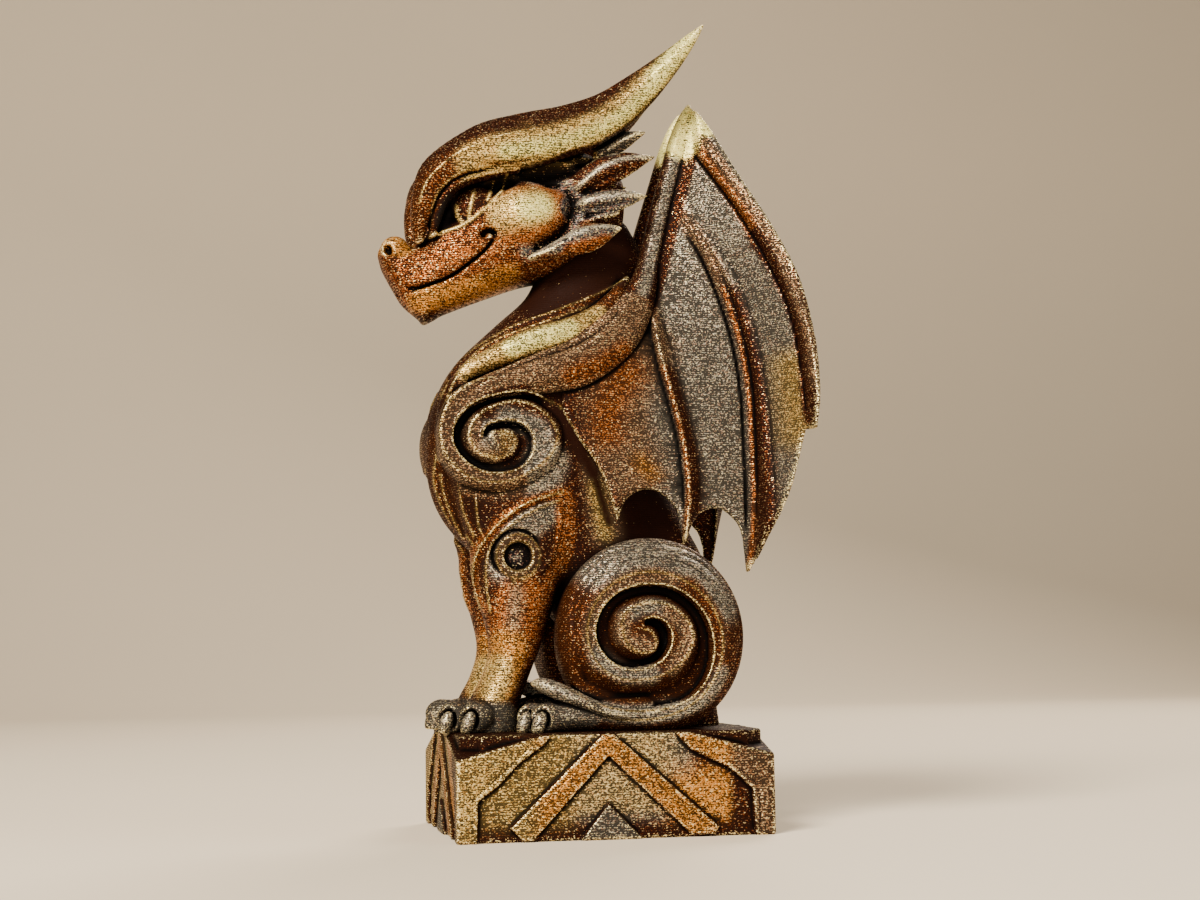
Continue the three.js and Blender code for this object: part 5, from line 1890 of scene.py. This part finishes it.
@dataclass(frozen=True)
class BrushedCoat:
    """The figurine's finish: a near-black coat over printed layers, with metallic wax brushed on, painted
    gleams and painted shade.
    """

    coat: Sequence[float] = (0.05, 0.02, 0.014)
    copper: Sequence[float] = (0.62, 0.33, 0.13)
    gleam: Sequence[float] = (0.98, 0.90, 0.66)
    shadow: Sequence[float] = (0.12, 0.09, 0.08, 1.0)
    coat_roughness: float = 0.6
    coat_gloss: float = 0.03
    wax_roughness: float = 0.38
    wax_metal: float = 0.66
    dulling: float = 0.9
    mottling: float = 0.3
    layer: float = 0.29
    layer_waver: float = 2.5
    streak: Sequence[float] = (0.8, 0.8, 5.6)
    speck: Sequence[float] = (3.9, 3.9, 5.4)
    fleck: Sequence[float] = (4.4, 4.4, 6.0)
    drift: Sequence[float] = (1.7, 1.7, 3.4)
    patch: Sequence[float] = (0.25, 0.25, 0.4)
    streak_share: float = 1.45
    speck_share: float = 2.7
    patch_share: float = 0.5
    layer_share: float = 0.17
    crest_share: float = 0.24
    hollow: float = 0.8
    hollow_painted_shade: float = 0.15
    tint: float = 0.06
    contrast: float = 0.07
    warmth: float = 0.5
    warm_grain: float = 1.2
    warm_range: tuple[float, float] = (0.5, 0.8)
    gleam_crest: float = 0.5
    gleam_grain: float = 2.4
    gleam_range: tuple[float, float] = (0.16, 0.62)
    gap_cover: float = 0.25
    gap_range: tuple[float, float] = (0.36, 0.54)
    bump_strength: float = 0.8
    layer_bump: float = 0.012
    streak_bump: float = 0.05
    speck_bump: float = 0.03
    wax_bump: float = 0.02

    def material(self, name: str) -> bpy.types.Material:
        """The finish as a material.

        Args:
            name: The material's name.

        Returns:
            The material.
        """
        recipe = Recipe(name)
        place = recipe.place()
        streak = recipe.noise(place, self.streak, detail=2.0)
        speck = recipe.noise(place, self.speck, detail=1.0)
        fleck = recipe.noise(place, self.fleck, detail=1.0)
        drift = recipe.noise(place, self.drift, detail=2.0)
        patch = recipe.noise(place, self.patch, detail=2.0)
        # The printed layers, a little wavy
        height = Shade(recipe, recipe.node("ShaderNodeSeparateXYZ", {}, {0: place}).outputs[2])
        layers = (height * (math.tau / self.layer) + streak * self.layer_waver).wave()
        tone = recipe.attribute("tone")
        wax_and_painted_light = recipe.node("ShaderNodeSeparateColor", {}, {0: recipe.attribute("wax_and_painted_light")})
        cover, crest, cavity = (Shade(recipe, wax_and_painted_light.outputs[k]) for k in range(3))
        # Wax catches on crests and specks and stays out of hollows
        amount = (
            cover
            - cavity * self.hollow
            + crest * self.crest_share
            + (streak - 0.5) * self.streak_share
            + (speck - 0.5) * self.speck_share
            + (patch - 0.5) * self.patch_share
            + layers * self.layer_share
        )
        wax = amount.between(0.5 - self.contrast, 0.5 + self.contrast)
        # Its colour drifts to copper, takes a painted gleam on crests and the highest grains, and darkens
        # in the gaps
        warm = (drift + (speck - 0.5) * self.warm_grain).between(*self.warm_range)
        mixed = recipe.blend(warm * self.warmth, tone, opaque(self.copper))
        gleam = crest * self.gleam_crest + (fleck - 0.5) * self.gleam_grain
        bright = recipe.blend(gleam.between(*self.gleam_range), mixed, opaque(self.gleam))
        gaps = 1 - (fleck + (cover - 0.5) * self.gap_cover).between(*self.gap_range)
        deep = recipe.blend(gaps, bright, self.shadow, "MULTIPLY")
        # The bare coat is faintly stained by the wax, and darkened to near black in hollows as painted
        # shade
        stained = recipe.blend(self.tint, opaque(self.coat), tone)
        coat = recipe.blend(cavity, stained, opaque(self.coat, self.hollow_painted_shade))
        relief = (
            layers * self.layer_bump
            + streak * self.streak_bump
            + speck * self.speck_bump
            + wax * self.wax_bump
        )
        settings = {"Strength": self.bump_strength, "Distance": MM, "Height": relief}
        matt = (1 - wax) * (self.coat_roughness - self.wax_roughness)
        inputs = {
            "Base Color": recipe.blend(wax, coat, deep),
            "Metallic": wax * (self.wax_metal + (0.5 - cover) * self.dulling),
            "Specular IOR Level": self.coat_gloss,
            "Roughness": matt + self.wax_roughness + (speck - 0.5) * self.mottling,
            "Normal": recipe.node("ShaderNodeBump", {}, settings).outputs[0],
        }
        return recipe.finished(inputs)


@dataclass(frozen=True)
class Lamp:
    """A soft square light that faces the figure, placed in metres."""

    name: str
    place: Sequence[float]
    size: float
    power: float
    colour: Sequence[float]

    TARGET = (0.0, 0.0, 0.05)

    def hang(self) -> None:
        """Hangs it in the scene."""
        data = bpy.data.lights.new(self.name, "AREA")
        data.size, data.energy, data.color = self.size, self.power, self.colour
        lamp = set_up(self.name, data)
        lamp.location = self.place
        aim = Vector(self.TARGET) - Vector(self.place)
        lamp.rotation_euler = aim.to_track_quat("-Z", "Y").to_euler()


@dataclass(frozen=True)
class Studio:
    """The floor that sweeps up into a backdrop, the soft lights, and the camera."""

    camera_place: Sequence[float] = (-51.26, -260.19, 23.54)
    camera_forward: Sequence[float] = (0.1984, 0.9752, 0.0976)
    camera_roll: float = -0.84
    lens: float = 60.18
    sensor: float = 36.0
    clip: tuple[float, float] = (0.01, 10.0)
    lamps: Sequence[Lamp] = (
        Lamp("key", (-0.34, -0.42, 0.46), 0.22, 11.0, (1.0, 0.93, 0.80)),
        Lamp("front", (-0.16, -0.62, 0.16), 0.28, 1.5, (1.0, 0.94, 0.84)),
        Lamp("fill", (0.50, -0.30, 0.22), 0.36, 1.0, (1.0, 0.93, 0.82)),
        Lamp("back", (0.26, 0.40, 0.42), 0.26, 3.4, (1.0, 0.90, 0.76)),
    )
    floor_reach: float = 2.4
    sweep_start: float = 0.5
    sweep_radius: float = 0.3
    sweep_height: float = 0.9
    sweep_steps: int = 16
    paper: Sequence[float] = (0.88, 0.82, 0.73)
    paper_shade: float = 0.92
    paper_mottle: float = 0.004
    paper_roughness: float = 0.8
    air: Sequence[float] = (0.80, 0.75, 0.68)
    air_strength: float = 0.18

    def build(self) -> list[bpy.types.Object]:
        """Sets up the studio.

        Returns:
            The floor and backdrop.
        """
        self._camera()
        for lamp in self.lamps:
            lamp.hang()
        world = bpy.data.worlds.new("studio")
        world.use_nodes = True
        background = world.node_tree.nodes["Background"]
        background.inputs[0].default_value = opaque(self.air)
        background.inputs[1].default_value = self.air_strength
        bpy.context.scene.world = world
        return [self._floor()]

    def _camera(self) -> None:
        """Places the camera as the picture was taken."""
        forward = Vector(self.camera_forward).normalized()
        right = forward.cross(Vector((0, 0, 1))).normalized()
        up = right.cross(forward)
        roll = math.radians(self.camera_roll)
        cos, sin = math.cos(roll), math.sin(roll)
        axis_x, axis_y = cos * right + sin * up, cos * up - sin * right
        data = bpy.data.cameras.new("camera")
        data.lens, data.sensor_width = self.lens, self.sensor
        data.clip_start, data.clip_end = self.clip
        camera = set_up("camera", data)
        turn = Matrix((axis_x, axis_y, -forward)).transposed().to_4x4()
        camera.matrix_world = Matrix.Translation(Vector(self.camera_place) * MM) @ turn
        bpy.context.scene.camera = camera

    def _floor(self) -> bpy.types.Object:
        """The floor and the backdrop, as one sheet."""
        profile = [(-self.floor_reach, 0.0), (self.sweep_start, 0.0)]
        for k in range(self.sweep_steps):
            angle = math.pi / 2 * (k + 1) / self.sweep_steps
            out, up = self.sweep_radius * math.sin(angle), self.sweep_radius * (1 - math.cos(angle))
            profile.append((self.sweep_start + out, up))
        profile.append((self.sweep_start + self.sweep_radius, self.sweep_height))
        vertices = [(side * self.floor_reach, y, z) for y, z in profile for side in (-1, 1)]
        faces = [(2 * k, 2 * k + 1, 2 * k + 3, 2 * k + 2) for k in range(len(profile) - 1)]
        mesh = bpy.data.meshes.new("floor")
        mesh.from_pydata(vertices, [], faces)
        mesh.polygons.foreach_set("use_smooth", [True] * len(faces))
        floor = set_up("floor", mesh)
        recipe = Recipe("paper")
        mottle = recipe.noise(recipe.place(), (self.paper_mottle,) * 3, detail=2.0)
        colour = recipe.blend(mottle, opaque(self.paper), opaque(self.paper, self.paper_shade))
        paper = recipe.finished({"Base Color": colour, "Roughness": self.paper_roughness})
        mesh.materials.append(paper)
        return floor


def main() -> None:
    """Builds the figurine and the studio round it."""
    logging.basicConfig(level=logging.INFO, format="%(message)s")
    for backdrop in Studio().build():
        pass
    finish = BrushedCoat()
    for node, sub_assembly in (("plinth", Plinth()), ("dragon", Dragon())):
        material = finish.material(f"{node} finish")
        for piece in sub_assembly.build():
            piece.data.materials.clear()
            piece.data.materials.append(material)
            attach(piece, "root")
            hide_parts(node)
            log.info("%s: %d faces", piece.name, len(piece.data.polygons))


if __name__ == "__main__":
    main()
